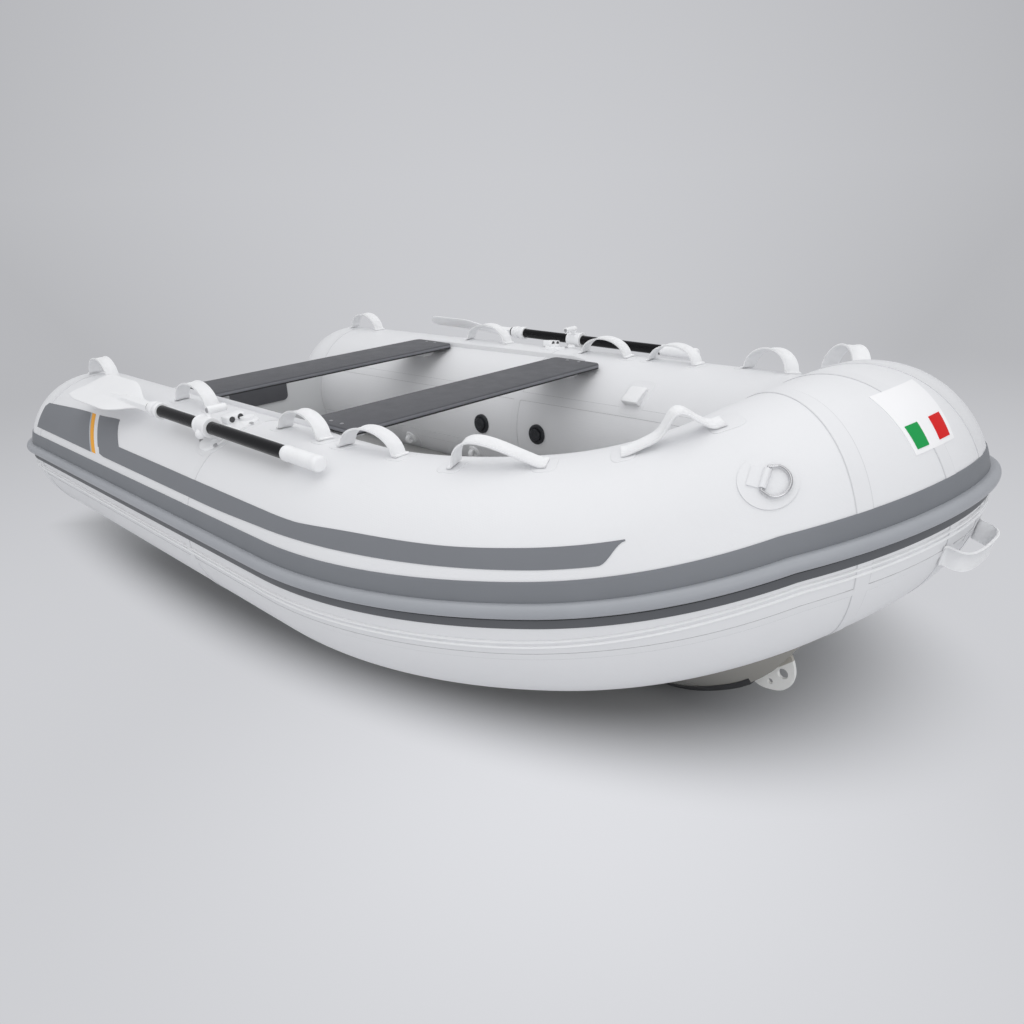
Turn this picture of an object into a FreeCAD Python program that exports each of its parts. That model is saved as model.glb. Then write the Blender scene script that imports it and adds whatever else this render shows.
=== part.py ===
import FreeCAD, Part
import math
import os

# Inflatable boat with a rigid hull, parked on its keel. Millimetres, +X to the bow,
# +Y to port, +Z up. The origin is the middle of the boat's outer box, on the floor.

V = FreeCAD.Vector

# Overall layout
STERN_SHIFT = -1507.8       # from the stern datum used for stations to the row origin
AXIS_HEIGHT = 460.0         # tube centreline above the floor at the stern
FIT_GAP = 0.3               # between glued or seated faces that are curved

# Inflatable collar. The port centreline is followed from the bow tip to the stern:
# three arcs, each tangent to the next, and a straight run
TUBE_R = 260.0
BOW_X = 2828.3              # bow tip of the centreline
BOW_Z = 223.5
BOW_TILT = 31.0             # plane of the bow arc, down towards the stern
BOW_BEND_R = 322.2
BOW_TURN = 46.6
CHEEK_BEND_R = 1040.6
CHEEK_YAW = -29.1           # heading where the cheek arc ends, seen from above
CHEEK_PITCH = 6.5
SIDE_BEND_R = 1158.3
SIDE_YAW = 1.35
SIDE_PITCH = 0.93
STERN_X = 150.0
SEAM_DEG = 155.0            # where the collar's own seam line runs
BOW_SEAM_Y = 172.0          # half breadth of the centreline at the bow seams

# Rubbing strake round the outside, angles up from the horizontal
STRAKE_TOP_DEG = 17.5
STRAKE_LOW_DEG = -3.4
STRAKE_BOW_RISE_DEG = 3.4
STRAKE_T = 2.0
BEAD_DEG = 3.3
BEAD_W = 38.0
BEAD_H = 24.0
STRAKE_WRAP_DEG = 68.0      # how far it goes round the stern domes
STRAKE_STEP = 75.0          # distance between its stations

# Rigid hull
KEEL_HALF = 42.0
KEEL_STRIP_T = 6.0
DECK_Z = -170.0
DECK_T = 8.0
DECK_PLAN = ((1300, 470), (1900, 480), (2300, 420), (2560, 200))    # stations before the transom's
HULL_X = (214, 700, 1300, 1900, 2200, 2440, 2600, 2700, 2770)
HULL_KEEL_Z = (-454, -454, -454, -454, -452, -436, -372, -290, -190)
HULL_CHINE_Y = (450, 468, 476, 470, 420, 310, 205, 120, 60)
HULL_CHINE_Z = (-305, -305, -303, -290, -270, -232, -180, -125, -70)

# Transom
TRANSOM_X0 = 172.0
TRANSOM_T = 42.0
TRANSOM_TOP = 150.0
TRANSOM_HALF = 430.0
PAD_HALF = 165.0
PAD_T = 8.0
PAD_IN_LOW = 12.0
PAD_OUT_LOW = -70.0
PAD_EDGE = 12.0
PAD_R = 22.0

# Towing plate under the stem
TOW_T = 10.0
TOW_BIG = (2716.0, -303.0, 14.0)
TOW_SMALL = (2683.0, -337.0, 7.5)

# Seats and what holds them
SEAT_T = 18.0
SEAT_W = 210.0
SEAT_HALF = 520.0
SEAT_R = 22.0
SEAT_AFT = (829.0, 0.8)     # middle station, and how far its ends clear the collar below them
SEAT_FORE = (1598.0, 3.4)
CLIP_W = 62.0
CLIP_INSET = (92.0, 12.0)   # inner and outer side of a clip, in from the seat's end
RAIL_DEG = 109.0
RAIL_H = 26.0
RAIL_T = 4.0
RAIL_X = (716.0, 1760.0)

# Grab loops on top of the collar: station, length over the feet, height, angle
LOOPS = (
    (190.0, 205.0, 64.0, 90.0),
    (1042.0, 235.0, 64.0, 89.0),
    (1644.0, 215.0, 57.0, 92.0),
    (1944.0, 225.0, 55.0, 92.0),
    (2327.0, 232.0, 64.0, 84.0),
    (2668.0, 240.0, 66.0, 84.0),
)
WEB_W = 46.0
WEB_T = 3.5
FOOT_LEN = 16.0
LOOP_CLEAR = 20.0           # between a loop's edge and the end of a seat beside it

# Oars and rowlocks
LOCK_X = 1380.0
OAR_DEG = 63.2              # where the oar lies round the tube
OAR_OFF = TUBE_R + 46.0     # oar axis from the tube centreline
PIN_DEG = 52.0              # lean of the rowlock pin, up from the horizontal
SHAFT_R = 17.5
GRIP_R = 20.5
RING_R = 27.0
RING_LEN = 64.0
RING_CLEAR = 0.3
PIN_R = 8.0
PIN_CLEAR = 0.05
BOSS_R = 21.0
KNOB_R = 15.0
BARREL_R = 11.0            # clamp of the ring
BARREL_LEN = 54.0
OAR_TIP = 500.0
BLADE_END = 1034.0
COLLAR = (1042.0, 1108.0, 21.0)
GRIP_X = (1782.0, 1930.0)
BLADE_HALF = 70.0
BLADE_T = 7.0
BLADE_PLAN = ((0, 30), (16, 14), (100, 0), (320, 6), (390, 24), (450, 44))   # from the tip, in from the half

# Small fittings
VALVE_X = (1246.0, 1525.0)
VALVE_R = 36.0
VALVE_H = 9.0
EYE_X = (788.0, 1167.0)
TAB_X = 1930.0
DRING_Y = 225.0             # centreline half breadth of its station
DRING_DEG = 44.0
DRING_TURN = 42.0           # how far the ring and its tab are turned on the patch
DRING_BAR = 25.0            # half length of the straight bar
DRING_R = 31.0
DRING_STEM = 16.0           # from the bar to the middle of the round end
WIRE_R = 3.2
PATCH_R = 56.0
PATCH_T = 2.5
HANDLE_HALF = 54.0          # on the centreline; the skin is longer there
HANDLE_DEG = -15.0
HANDLE_OUT = 46.0
HANDLE_W = 46.0


def turned(vector, axis, angle):
    """A direction turned about an axis, angle in radians."""
    return FreeCAD.Rotation(axis, math.degrees(angle)).multVec(vector)


def heading(yaw, pitch):
    a, b = math.radians(yaw), math.radians(pitch)
    return V(math.cos(a) * math.cos(b), math.sin(a) * math.cos(b), math.sin(b))


def centreline():
    """Arcs of the port centreline, bow to stern: start, travel, centre, axis, radius, angle."""
    tilt = math.radians(BOW_TILT)
    point, travel = V(BOW_X, 0, BOW_Z), V(0, 1, 0)
    axis = travel.cross(V(-math.cos(tilt), 0, -math.sin(tilt)))
    bends = [(BOW_BEND_R, axis, math.radians(BOW_TURN)),
             (CHEEK_BEND_R, heading(CHEEK_YAW, CHEEK_PITCH) * -1, None),
             (SIDE_BEND_R, heading(SIDE_YAW, SIDE_PITCH) * -1, None)]
    arcs = []
    for radius, goal, angle in bends:
        if angle is None:
            axis = travel.cross(goal)
            angle = math.atan2(axis.Length, travel.dot(goal))
        axis = axis.normalize()
        centre = point + axis.cross(travel) * radius
        arcs.append((point, travel, centre, axis, radius, angle))
        point = centre + turned(point - centre, axis, angle)
        travel = turned(travel, axis, angle)
    return arcs, point, travel


ARCS, RUN_POINT, RUN_TRAVEL = centreline()
RUN = (STERN_X - RUN_POINT.x) / RUN_TRAVEL.x
LENGTH = RUN + sum(radius * angle for _, _, _, _, radius, angle in ARCS)


def local(s):
    """Centre, forward, outboard and upward directions at a distance from the stern."""
    left = LENGTH - min(max(s, 0.0), LENGTH)
    centre, travel = RUN_POINT, RUN_TRAVEL
    for point, start, pivot, axis, radius, angle in ARCS:
        if left <= radius * angle:
            centre = pivot + turned(point - pivot, axis, left / radius)
            travel = turned(start, axis, left / radius)
            break
        left -= radius * angle
    else:
        centre = RUN_POINT + RUN_TRAVEL * left
    forward = travel * -1
    out = (forward.cross(V(0, 0, 1)) * -1).normalize()
    return centre, forward, out, forward.cross(out)


def solve(value, axis):
    """Distance from the stern where a coordinate of the centreline has this value."""
    low, high = 0.0, LENGTH
    if axis == 1:
        low = RUN
    for _ in range(50):
        mid = (low + high) / 2
        if (local(mid)[0][axis] < value) == (axis == 0):
            low = mid
        else:
            high = mid
    return (low + high) / 2


def normal(s, deg):
    centre, forward, out, up = local(s)
    a = math.radians(deg)
    return out * math.cos(a) + up * math.sin(a)


def skin(s, deg, off=0.0):
    """Point on the port tube's surface, raised by off."""
    return local(s)[0] + normal(s, deg) * (TUBE_R + off)


def along(s, deg):
    """Direction round the tube, growing angle."""
    centre, forward, out, up = local(s)
    a = math.radians(deg)
    return up * math.cos(a) - out * math.sin(a)


def flip(v):
    return V(v.x, -v.y, v.z)


def other_side(shape):
    """Starboard twin of a port shape."""
    return shape.mirror(V(0, 0, 0), V(0, 1, 0))


def disc(centre, direction, radius, seam):
    """Round face whose seam point lies on the given side."""
    circle = Part.Circle(centre, direction, radius)
    start = circle.parameter(centre + seam * radius)
    return Part.Face(Part.Wire([Part.ArcOfCircle(circle, start, start + 2 * math.pi).toShape()]))


def pipe(s0, s1, radius):
    """Length of collar between two distances from the stern."""
    pieces = []
    begin = 0.0
    if s0 < RUN:
        centre, forward, out, up = local(s0)
        face = disc(centre, forward, radius, normal(s0, SEAM_DEG))
        pieces.append(face.extrude(forward * (min(s1, RUN) - s0)))
    begin = RUN
    for point, travel, pivot, axis, bend, angle in reversed(ARCS):
        end = begin + bend * angle
        a, b = max(s0, begin), min(s1, end)
        if b - a > 0.01:
            centre, forward, out, up = local(a)
            face = disc(centre, forward, radius, normal(a, SEAM_DEG))
            pieces.append(face.revolve(pivot, axis * -1, math.degrees((b - a) / bend)))
        begin = end
    return pieces[0].fuse(pieces[1:]) if len(pieces) > 1 else pieces[0]


def dome(radius):
    """Half ball that closes the tube at the stern."""
    centre, forward, out, up = local(0.0)
    side = normal(0.0, SEAM_DEG)
    rim, tail = centre + side * radius, centre - forward * radius
    bend = Part.Arc(rim, centre + (side - forward) * (radius / math.sqrt(2)), tail).toShape()
    edges = [Part.makeLine(centre, rim), bend, Part.makeLine(tail, centre)]
    return Part.Face(Part.Wire(edges)).revolve(centre, forward, 360)


def bow_pipe(radius):
    half = pipe(S_SEAM, LENGTH, radius)
    return half.fuse(other_side(half)).removeSplitter()


def collar(extra):
    """The whole collar grown by extra, in one solid."""
    side = pipe(0.0, LENGTH, TUBE_R + extra).fuse(dome(TUBE_R + extra))
    return side.fuse(other_side(side))


def loft(sections, ruled=False):
    return Part.makeLoft([Part.makePolygon(s + [s[0]]) for s in sections], True, ruled)


def strap(points, across, width):
    """Webbing through points, flat across its width, its thickness square to its run."""
    sections, last = [], len(points) - 1
    for i, (p, side) in enumerate(zip(points, across)):
        run = points[min(i + 1, last)] - points[max(i - 1, 0)]
        a, b = side * (width / 2), side.cross(run).normalize() * WEB_T
        sections.append([p - a, p + a, p + a + b, p - a + b])
    return loft(sections, True).cut(GROWN)


def strake_frames():
    """Stations of the rubbing strake: centre, outward and upward directions, share of the length."""
    frames = []
    centre, forward, out, up = local(0.0)
    wraps = round(TUBE_R * math.radians(STRAKE_WRAP_DEG) / STRAKE_STEP)
    for i in range(wraps):
        a = math.radians(STRAKE_WRAP_DEG * (1 - i / wraps))
        frames.append((centre, out * math.cos(a) - forward * math.sin(a), up, 0.0))
    steps = round(LENGTH / STRAKE_STEP)
    for i in range(steps + 1):
        centre, forward, out, up = local(LENGTH * i / steps)
        frames.append((centre, out, up, i / steps))
    twins = [(flip(c), flip(o), flip(k), share) for c, o, k, share in reversed(frames[:-1])]
    return frames + twins


def strake_point(frame, deg, off):
    centre, out, up, share = frame
    a = math.radians(deg + STRAKE_BOW_RISE_DEG * share)
    return centre + (out * math.cos(a) + up * math.sin(a)) * (TUBE_R + off)


def strake(angles_offsets):
    return loft([[strake_point(f, d, o) for d, o in angles_offsets] for f in strake_frames()])


def strake_band():
    """Thin sheet cut out of a grown collar by a wedge that follows the strake."""
    low, top = STRAKE_LOW_DEG, STRAKE_TOP_DEG
    wedge = strake([(low, -30), (top, -30), (top, 40), (low, 40)])
    return wedge.common(collar(FIT_GAP + STRAKE_T)).cut(GROWN)


def strake_bead():
    base = 2 * FIT_GAP + STRAKE_T
    half = math.degrees(BEAD_W / 2 / TUBE_R)
    profile = [(BEAD_DEG - half, -8), (BEAD_DEG + half, -8)]
    for i in range(9):
        a = math.pi * i / 8
        profile.append((BEAD_DEG + half * math.cos(a), base + 2 + (BEAD_H - 2) * math.sin(a)))
    return strake(profile).cut(collar(base))


def hull_sections(x, keel_z, chine_y, chine_z):
    keel = min(KEEL_HALF, chine_y * 0.6)
    mid_y, mid_z = (keel + chine_y) / 2, (keel_z + chine_z) / 2 - 8
    side = [(keel, keel_z), (mid_y, mid_z), (chine_y, chine_z), (chine_y, DECK_Z + 160)]
    ring = [V(x, -y, z) for y, z in side] + [V(x, y, z) for y, z in reversed(side)]
    return ring


def hull():
    sections = [hull_sections(*s) for s in zip(HULL_X, HULL_KEEL_Z, HULL_CHINE_Y, HULL_CHINE_Z)]
    body = loft(sections, True)
    above = Part.makeBox(4000, 2000, 1000, V(-200, -1000, DECK_Z))
    body = body.cut(above)
    return body.cut(GROWN)


def keel_strip():
    half, sections = KEEL_HALF - 6, []
    for x, z in zip(HULL_X[:7], HULL_KEEL_Z[:7]):
        sections.append([V(x, -half, z - KEEL_STRIP_T), V(x, half, z - KEEL_STRIP_T),
                         V(x, half, z), V(x, -half, z)])
    return loft(sections, True)


def deck():
    xs, half = zip((TRANSOM_X0 + TRANSOM_T, HULL_CHINE_Y[0]), *DECK_PLAN)
    outline = [V(x, -h, DECK_Z) for x, h in zip(xs, half)]
    outline += [V(x, h, DECK_Z) for x, h in zip(reversed(xs), reversed(half))]
    panel = Part.Face(Part.makePolygon(outline + [outline[0]])).extrude(V(0, 0, DECK_T))
    return panel.cut(GROWN)


def transom():
    low = HULL_KEEL_Z[0]
    outline = [V(0, -KEEL_HALF, low), V(0, KEEL_HALF, low), V(0, HULL_CHINE_Y[0], HULL_CHINE_Z[0]),
               V(0, TRANSOM_HALF, TRANSOM_TOP - 30), V(0, TRANSOM_HALF - 60, TRANSOM_TOP),
               V(0, -TRANSOM_HALF + 60, TRANSOM_TOP), V(0, -TRANSOM_HALF, TRANSOM_TOP - 30),
               V(0, -HULL_CHINE_Y[0], HULL_CHINE_Z[0])]
    outline = [p + V(TRANSOM_X0, 0, 0) for p in outline]
    board = Part.Face(Part.makePolygon(outline + [outline[0]])).extrude(V(TRANSOM_T, 0, 0))
    return board.cut(GROWN)


def pad(x, low):
    plate = Part.makeBox(PAD_T, 2 * PAD_HALF, TRANSOM_TOP - PAD_EDGE - low, V(x, -PAD_HALF, low))
    edges = [e for e in plate.Edges if abs(e.BoundBox.XLength - PAD_T) < 0.01]
    return plate.makeFillet(PAD_R, edges)


def tow_plate():
    """Fore-and-aft plate hanging from the stem, with two holes."""
    y = -TOW_T / 2
    outline = [V(2628, y, -352), V(2660, y, -366), V(2712, y, -358), V(2742, y, -330),
               V(2752, y, -290), V(2734, y, -236), V(2690, y, -240), V(2622, y, -320)]
    plate = Part.Face(Part.makePolygon(outline + [outline[0]])).extrude(V(0, TOW_T, 0))
    for x, z, r in (TOW_BIG, TOW_SMALL):
        plate = plate.cut(Part.makeCylinder(r, 3 * TOW_T, V(x, -1.5 * TOW_T, z), V(0, 1, 0)))
    return plate.cut(HULL).cut(GROWN)


def grab_loop(x, length, height, deg):
    """Webbing loop: two short glued feet and a rounded arch between them."""
    middle = max(solve(x, 0), length / 2)
    for seat_x, clearance in (SEAT_AFT, SEAT_FORE):
        if abs(seat_x - x) < (SEAT_W + length) / 2:
            beside = SEAT_HALF + LOOP_CLEAR + WEB_W / 2 - local(middle)[0].y
            deg = min(deg, math.degrees(math.acos(beside / TUBE_R)))
    places = [(-length / 2, 0.0)]
    for i in range(13):
        a = math.pi * i / 12
        places.append(((FOOT_LEN - length / 2) * math.cos(a), height * math.sin(a)))
    places.append((length / 2, 0.0))
    points = [skin(middle + run, deg, FIT_GAP + rise) for run, rise in places]
    return strap(points, [along(middle + run, deg) for run, rise in places], WEB_W)


def bow_handle():
    """Carry handle under the bow: a squarer loop, centred, its feet glued below the strake."""
    half = []
    for i in range(-1, 7):
        a = math.pi / 2 * max(i, 0) / 6
        run, rise = HANDLE_HALF * math.cos(a) ** 0.5, HANDLE_OUT * math.sin(a) ** 0.5
        s = LENGTH - run - (FOOT_LEN / 2 if i < 0 else 0.0)
        half.append((skin(s, HANDLE_DEG, FIT_GAP + rise), along(s, HANDLE_DEG)))
    whole = half + [(flip(p), flip(t)) for p, t in reversed(half[:-1])]
    return strap([p for p, t in whole], [t for p, t in whole], HANDLE_W)


def skin_patch(s, deg, half_long, half_wide, thick, gap=FIT_GAP):
    """Thin oval sheet that follows the tube's surface."""
    oval = Part.Ellipse(V(0, 0, 0), max(half_long, half_wide), min(half_long, half_wide)).toShape()
    if half_wide > half_long:
        oval.rotate(V(0, 0, 0), V(0, 0, 1), 90)
    column = Part.Face(Part.Wire([oval])).extrude(V(0, 0, 160))
    column.Placement = on_skin(s, deg).multiply(FreeCAD.Placement(V(0, 0, -80), FreeCAD.Rotation()))
    sheet = column.common(pipe(s - 140, min(s + 140, LENGTH), TUBE_R + gap + thick))
    return sheet.cut(GROWN)


def valve(x):
    u = solve(x, 0)
    n = normal(u, 178)
    base = Part.makeCylinder(VALVE_R, VALVE_H + 8, skin(u, 178, -8), n)
    cap = Part.makeCylinder(VALVE_R * 0.62, VALVE_H + 15, skin(u, 178, -8), n)
    return base.fuse(cap).cut(GROWN)


def eye(x):
    """Moulded lifting eye on the inner side of the tube."""
    u, deg = solve(x, 0), -153.0
    centre, forward, out, up = local(u)
    n, t = normal(u, deg), along(u, deg)
    foot = Part.makeCylinder(28, 20, skin(u, deg, -12), n)
    ear = Part.makeCylinder(17, 16, skin(u, deg, 12) - forward * 8, forward)
    hole = Part.makeCylinder(8, 40, skin(u, deg, 16) - forward * 20, forward)
    return foot.fuse(ear).cut(hole).cut(GROWN)


def bag_tab(x):
    """Welded wedge tab for a bag strap."""
    u, deg = solve(x, 0), 137.0
    centre, forward, out, up = local(u)
    n, t = normal(u, deg), along(u, deg)
    p = skin(u, deg)
    sections = []
    for s, high in ((-36, 4), (-20, 26), (30, 26), (36, 4)):
        a, b = p + t * s - forward * 34, p + t * s + forward * 34
        sections.append([a - n * 20, b - n * 20, b + n * high, a + n * high])
    return loft(sections, True).cut(GROWN)


def on_skin(u, deg):
    """Placement with X forward, Y down round the tube and Z out of its surface."""
    x, y, z, p = local(u)[1], along(u, deg) * -1, normal(u, deg), skin(u, deg)
    return FreeCAD.Placement(FreeCAD.Matrix(x.x, y.x, z.x, p.x, x.y, y.y, z.y, p.y,
                                            x.z, y.z, z.z, p.z, 0, 0, 0, 1))


def d_ring_patch():
    u = solve(DRING_Y, 1)
    sheet = skin_patch(u, DRING_DEG, PATCH_R, PATCH_R, PATCH_T)
    half, z = DRING_BAR - 5, 7.0
    strap = Part.makeBox(30, 2 * half, 7, V(-36, -half, -2))
    strap = strap.fuse(Part.makeCylinder(7, 2 * half, V(-6, -half, z), V(0, 1, 0)))
    strap = strap.cut(Part.makeCylinder(WIRE_R + 0.4, 2 * half + 4, V(-6, -half - 2, z), V(0, 1, 0)))
    strap.Placement = d_ring_place()
    return sheet.fuse(strap.cut(GROWN))


def d_ring_place():
    turn = FreeCAD.Placement(V(0, 0, 0), FreeCAD.Rotation(V(0, 0, 1), DRING_TURN))
    return on_skin(solve(DRING_Y, 1), DRING_DEG).multiply(turn)


def d_ring():
    """D-shaped wire ring whose straight bar passes through the tab."""
    z, arc_x = 7.0, DRING_STEM - 6
    ring = Part.makeTorus(DRING_R, WIRE_R, V(arc_x, 0, z), V(0, 0, 1))
    ring = ring.common(Part.makeBox(100, 100, 40, V(arc_x, -50, z - 20)))
    corners = [V(-6, -DRING_BAR, z), V(-6, DRING_BAR, z), V(arc_x, DRING_R, z), V(arc_x, -DRING_R, z)]
    for a, b in ((0, 1), (1, 2), (0, 3)):
        side = corners[b] - corners[a]
        ring = ring.fuse(Part.makeCylinder(WIRE_R, side.Length, corners[a], side))
    for corner in corners:
        ring = ring.fuse(Part.makeSphere(WIRE_R, corner))
    ring.Placement = d_ring_place()
    return ring


def seat_height(x, clearance):
    """Underside of a seat, a clearance over the collar's skin at the seat's ends."""
    tops = []
    for end in (x - SEAT_W / 2 + SEAT_R, x + SEAT_W / 2 - SEAT_R):
        centre = local(solve(end, 0))[0]
        inboard = max(centre.y - SEAT_HALF, 0.0)
        tops.append(centre.z + math.sqrt(max(TUBE_R ** 2 - inboard ** 2, 0.0)))
    return float(math.ceil(max(tops) + clearance))


def seat(x, z):
    board = Part.makeBox(SEAT_W, 2 * SEAT_HALF, SEAT_T, V(x - SEAT_W / 2, -SEAT_HALF, z))
    edges = [e for e in board.Edges if abs(e.BoundBox.ZLength - SEAT_T) < 0.01]
    board = board.makeFillet(SEAT_R, edges)
    return board


def seat_clip(x, z):
    low, high = [SEAT_HALF - inset for inset in CLIP_INSET]
    block = Part.makeBox(CLIP_W, high - low, 90, V(x - CLIP_W / 2, low, z - 90))
    hole = Part.makeCylinder(6, 200, V(x, low + 18, z - 100), V(0, 0, 1))
    keep = Part.makeBox(CLIP_W, high - low, 28, V(x - CLIP_W / 2, low, z - 28))
    return block.common(keep).cut(GROWN).cut(hole)


def seat_rail():
    """Upright fin glued along the tube, to which the seats' clips are laced."""
    s0, s1 = solve(RAIL_X[0], 0), solve(RAIL_X[1], 0)
    sections = []
    for s in (s0, s0 + 40, (s0 + s1) / 2, s1 - 40, s1):
        high = RAIL_H * 0.35 if s in (s0, s1) else RAIL_H
        p, half = skin(s, RAIL_DEG), local(s)[2] * (RAIL_T / 2)
        low, top = V(0, 0, -14), V(0, 0, high)
        sections.append([p - half + low, p + half + low, p + half + top, p - half + top])
    return loft(sections, True).cut(GROWN)


def oar_frame():
    """Middle of the rowlock on the oar axis, with the pin's direction."""
    u = solve(LOCK_X, 0)
    centre = local(u)[0]
    a = math.radians(OAR_DEG)
    middle = centre + V(0, math.cos(a), math.sin(a)) * OAR_OFF
    p = math.radians(PIN_DEG)
    return u, V(LOCK_X, middle.y, middle.z), V(0, math.cos(p), math.sin(p))


def rod(x0, x1, r, axis_point):
    return Part.makeCylinder(r, x1 - x0, V(x0, axis_point.y, axis_point.z), V(1, 0, 0))


def oar_shaft():
    o = oar_frame()[1]
    return rod(BLADE_END, GRIP_X[0], SHAFT_R, o)


def oar_grip():
    o = oar_frame()[1]
    body = rod(GRIP_X[0], GRIP_X[1], GRIP_R, o)
    edges = [e for e in body.Edges if abs(e.BoundBox.XMax - GRIP_X[1]) < 0.01 and e.BoundBox.XLength < 0.01]
    return body.makeFillet(9, edges)


def oar_blade():
    """Flat blade with a raised spine, and the collar that joins it to the shaft."""
    o = oar_frame()[1]
    a = math.radians(OAR_DEG)
    n, t = V(0, math.cos(a), math.sin(a)), V(0, -math.sin(a), math.cos(a))
    shape = [(OAR_TIP + run, BLADE_HALF - less) for run, less in BLADE_PLAN]
    shape += [(BLADE_END - 30, SHAFT_R + 2.5), (BLADE_END, SHAFT_R + 0.5)]
    outline = [V(x, 0, 0) + V(0, o.y, o.z) + t * h for x, h in shape]
    outline += [V(x, 0, 0) + V(0, o.y, o.z) - t * h for x, h in reversed(shape)]
    outline = [p - n * (BLADE_T / 2) for p in outline]
    face = Part.Face(Part.makePolygon(outline + [outline[0]]))
    blade = face.extrude(n * BLADE_T)
    spine = Part.makeCone(5, SHAFT_R - 3, BLADE_END - OAR_TIP - 60,
                          V(OAR_TIP + 60, o.y, o.z), V(1, 0, 0))
    neck = rod(BLADE_END - 40, BLADE_END, SHAFT_R, o)
    return blade.fuse([spine, neck])


def oar_collar():
    o = oar_frame()[1]
    outer = rod(COLLAR[0], COLLAR[1], COLLAR[2], o)
    return outer.cut(rod(COLLAR[0] - 5, COLLAR[1] + 5, SHAFT_R + RING_CLEAR, o))


def rowlock_ring():
    """Ring that holds the oar, its pin and the clamp knob."""
    u, o, pin = oar_frame()
    ring = rod(LOCK_X - RING_LEN / 2, LOCK_X + RING_LEN / 2, RING_R, o)
    stem = Part.makeCylinder(PIN_R, 43.5, o - pin * 43.5, pin)
    side = V(0, pin.z, -pin.y)
    knob = Part.makeSphere(KNOB_R, o + side * 26)
    hinge = o + V(0, -18, 42)
    lug = Part.makeCylinder(8, (hinge - o).Length, o, hinge - o)
    barrel = Part.makeCylinder(BARREL_R, BARREL_LEN, hinge + V(0, 10, 0), V(0, -1, 0))
    body = ring.fuse([stem, knob, lug, barrel])
    return body.cut(rod(LOCK_X - 60, LOCK_X + 60, SHAFT_R + RING_CLEAR, o))


def rowlock_base():
    """Moulded plate on the collar with the pin's socket and a cover."""
    u, o, pin = oar_frame()
    deg = 73.0
    plate = skin_patch(u, deg, 60, 92, 6.0)
    boss = Part.makeCylinder(BOSS_R, 60, o - pin * 93, pin)
    cover = Part.makeCylinder(20, 22, skin(u, 87, -8), normal(u, 87))
    extra = boss.fuse(cover).cut(GROWN)
    socket = Part.makeCylinder(PIN_R + PIN_CLEAR, 80, o - pin * 100, pin)
    return plate.fuse(extra).cut(socket)


def export(name, shape):
    """Move a shape to the row frame, check it and write it."""
    shape = shape.copy()
    shape.translate(V(STERN_SHIFT, 0, AXIS_HEIGHT))
    solids = shape.Solids
    if not solids:
        raise ValueError(name + " has no solid")
    keep = [s for s in solids if s.Volume > 30.0]
    for s in keep:
        if not s.isValid():
            print("warning, not valid:", name)
    out = keep[0] if len(keep) == 1 else Part.makeCompound(keep)
    out.exportStep("parts/" + name + ".step")
    box = out.BoundBox
    print("%-26s %2d solids %9.1f cm3  x %7.1f %7.1f  y %7.1f %7.1f  z %7.1f %7.1f" % (
        name, len(keep), out.Volume / 1000, box.XMin, box.XMax, box.YMin, box.YMax, box.ZMin, box.ZMax))


def both(name, shape):
    export("port_" + name, shape)
    export("starboard_" + name, other_side(shape))


os.makedirs("parts", exist_ok=True)
S_SEAM = solve(BOW_SEAM_Y, 1)
GROWN = collar(FIT_GAP)

# Collar
both("tube", pipe(0.0, S_SEAM, TUBE_R))
both("stern_dome", dome(TUBE_R))
export("bow_tube", bow_pipe(TUBE_R))
export("rub_strake_band", strake_band())
export("rub_strake_bead", strake_bead())

# Rigid hull, deck and transom
HULL = hull()
export("hull_shell", HULL)
export("keel_strip", keel_strip())
export("deck_panel", deck())
export("transom_board", transom())
export("transom_pad_inner", pad(TRANSOM_X0 + TRANSOM_T, PAD_IN_LOW))
export("transom_pad_outer", pad(TRANSOM_X0 - PAD_T, PAD_OUT_LOW))
export("stem_tow_plate", tow_plate())

# Seats
SEATS = [(x, seat_height(x, clearance)) for x, clearance in (SEAT_AFT, SEAT_FORE)]
for side_name, place in zip(("aft", "fore"), SEATS):
    export(side_name + "_seat", seat(*place))
both("seat_clips", Part.makeCompound([seat_clip(*place) for place in SEATS]))
both("seat_rail", seat_rail())

# Loops and handles
for number, values in enumerate(LOOPS, 1):
    both("grab_loop_%d" % number, grab_loop(*values))
export("bow_handle", bow_handle())

# Fittings
both("d_ring_patch", d_ring_patch())
both("d_ring", d_ring())
both("valves", Part.makeCompound([valve(x) for x in VALVE_X]))
both("lifting_eyes", Part.makeCompound([eye(x) for x in EYE_X]))
both("bag_tab", bag_tab(TAB_X))

# Oars
both("rowlock_base", rowlock_base())
both("rowlock_ring", rowlock_ring())
both("oar_shaft", oar_shaft())
both("oar_blade", oar_blade())
both("oar_collar", oar_collar())
both("oar_grip", oar_grip())
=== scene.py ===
import math

import bpy
from bpy.props import FloatProperty, FloatVectorProperty, PointerProperty
from mathutils import Matrix, Vector, noise


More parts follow.
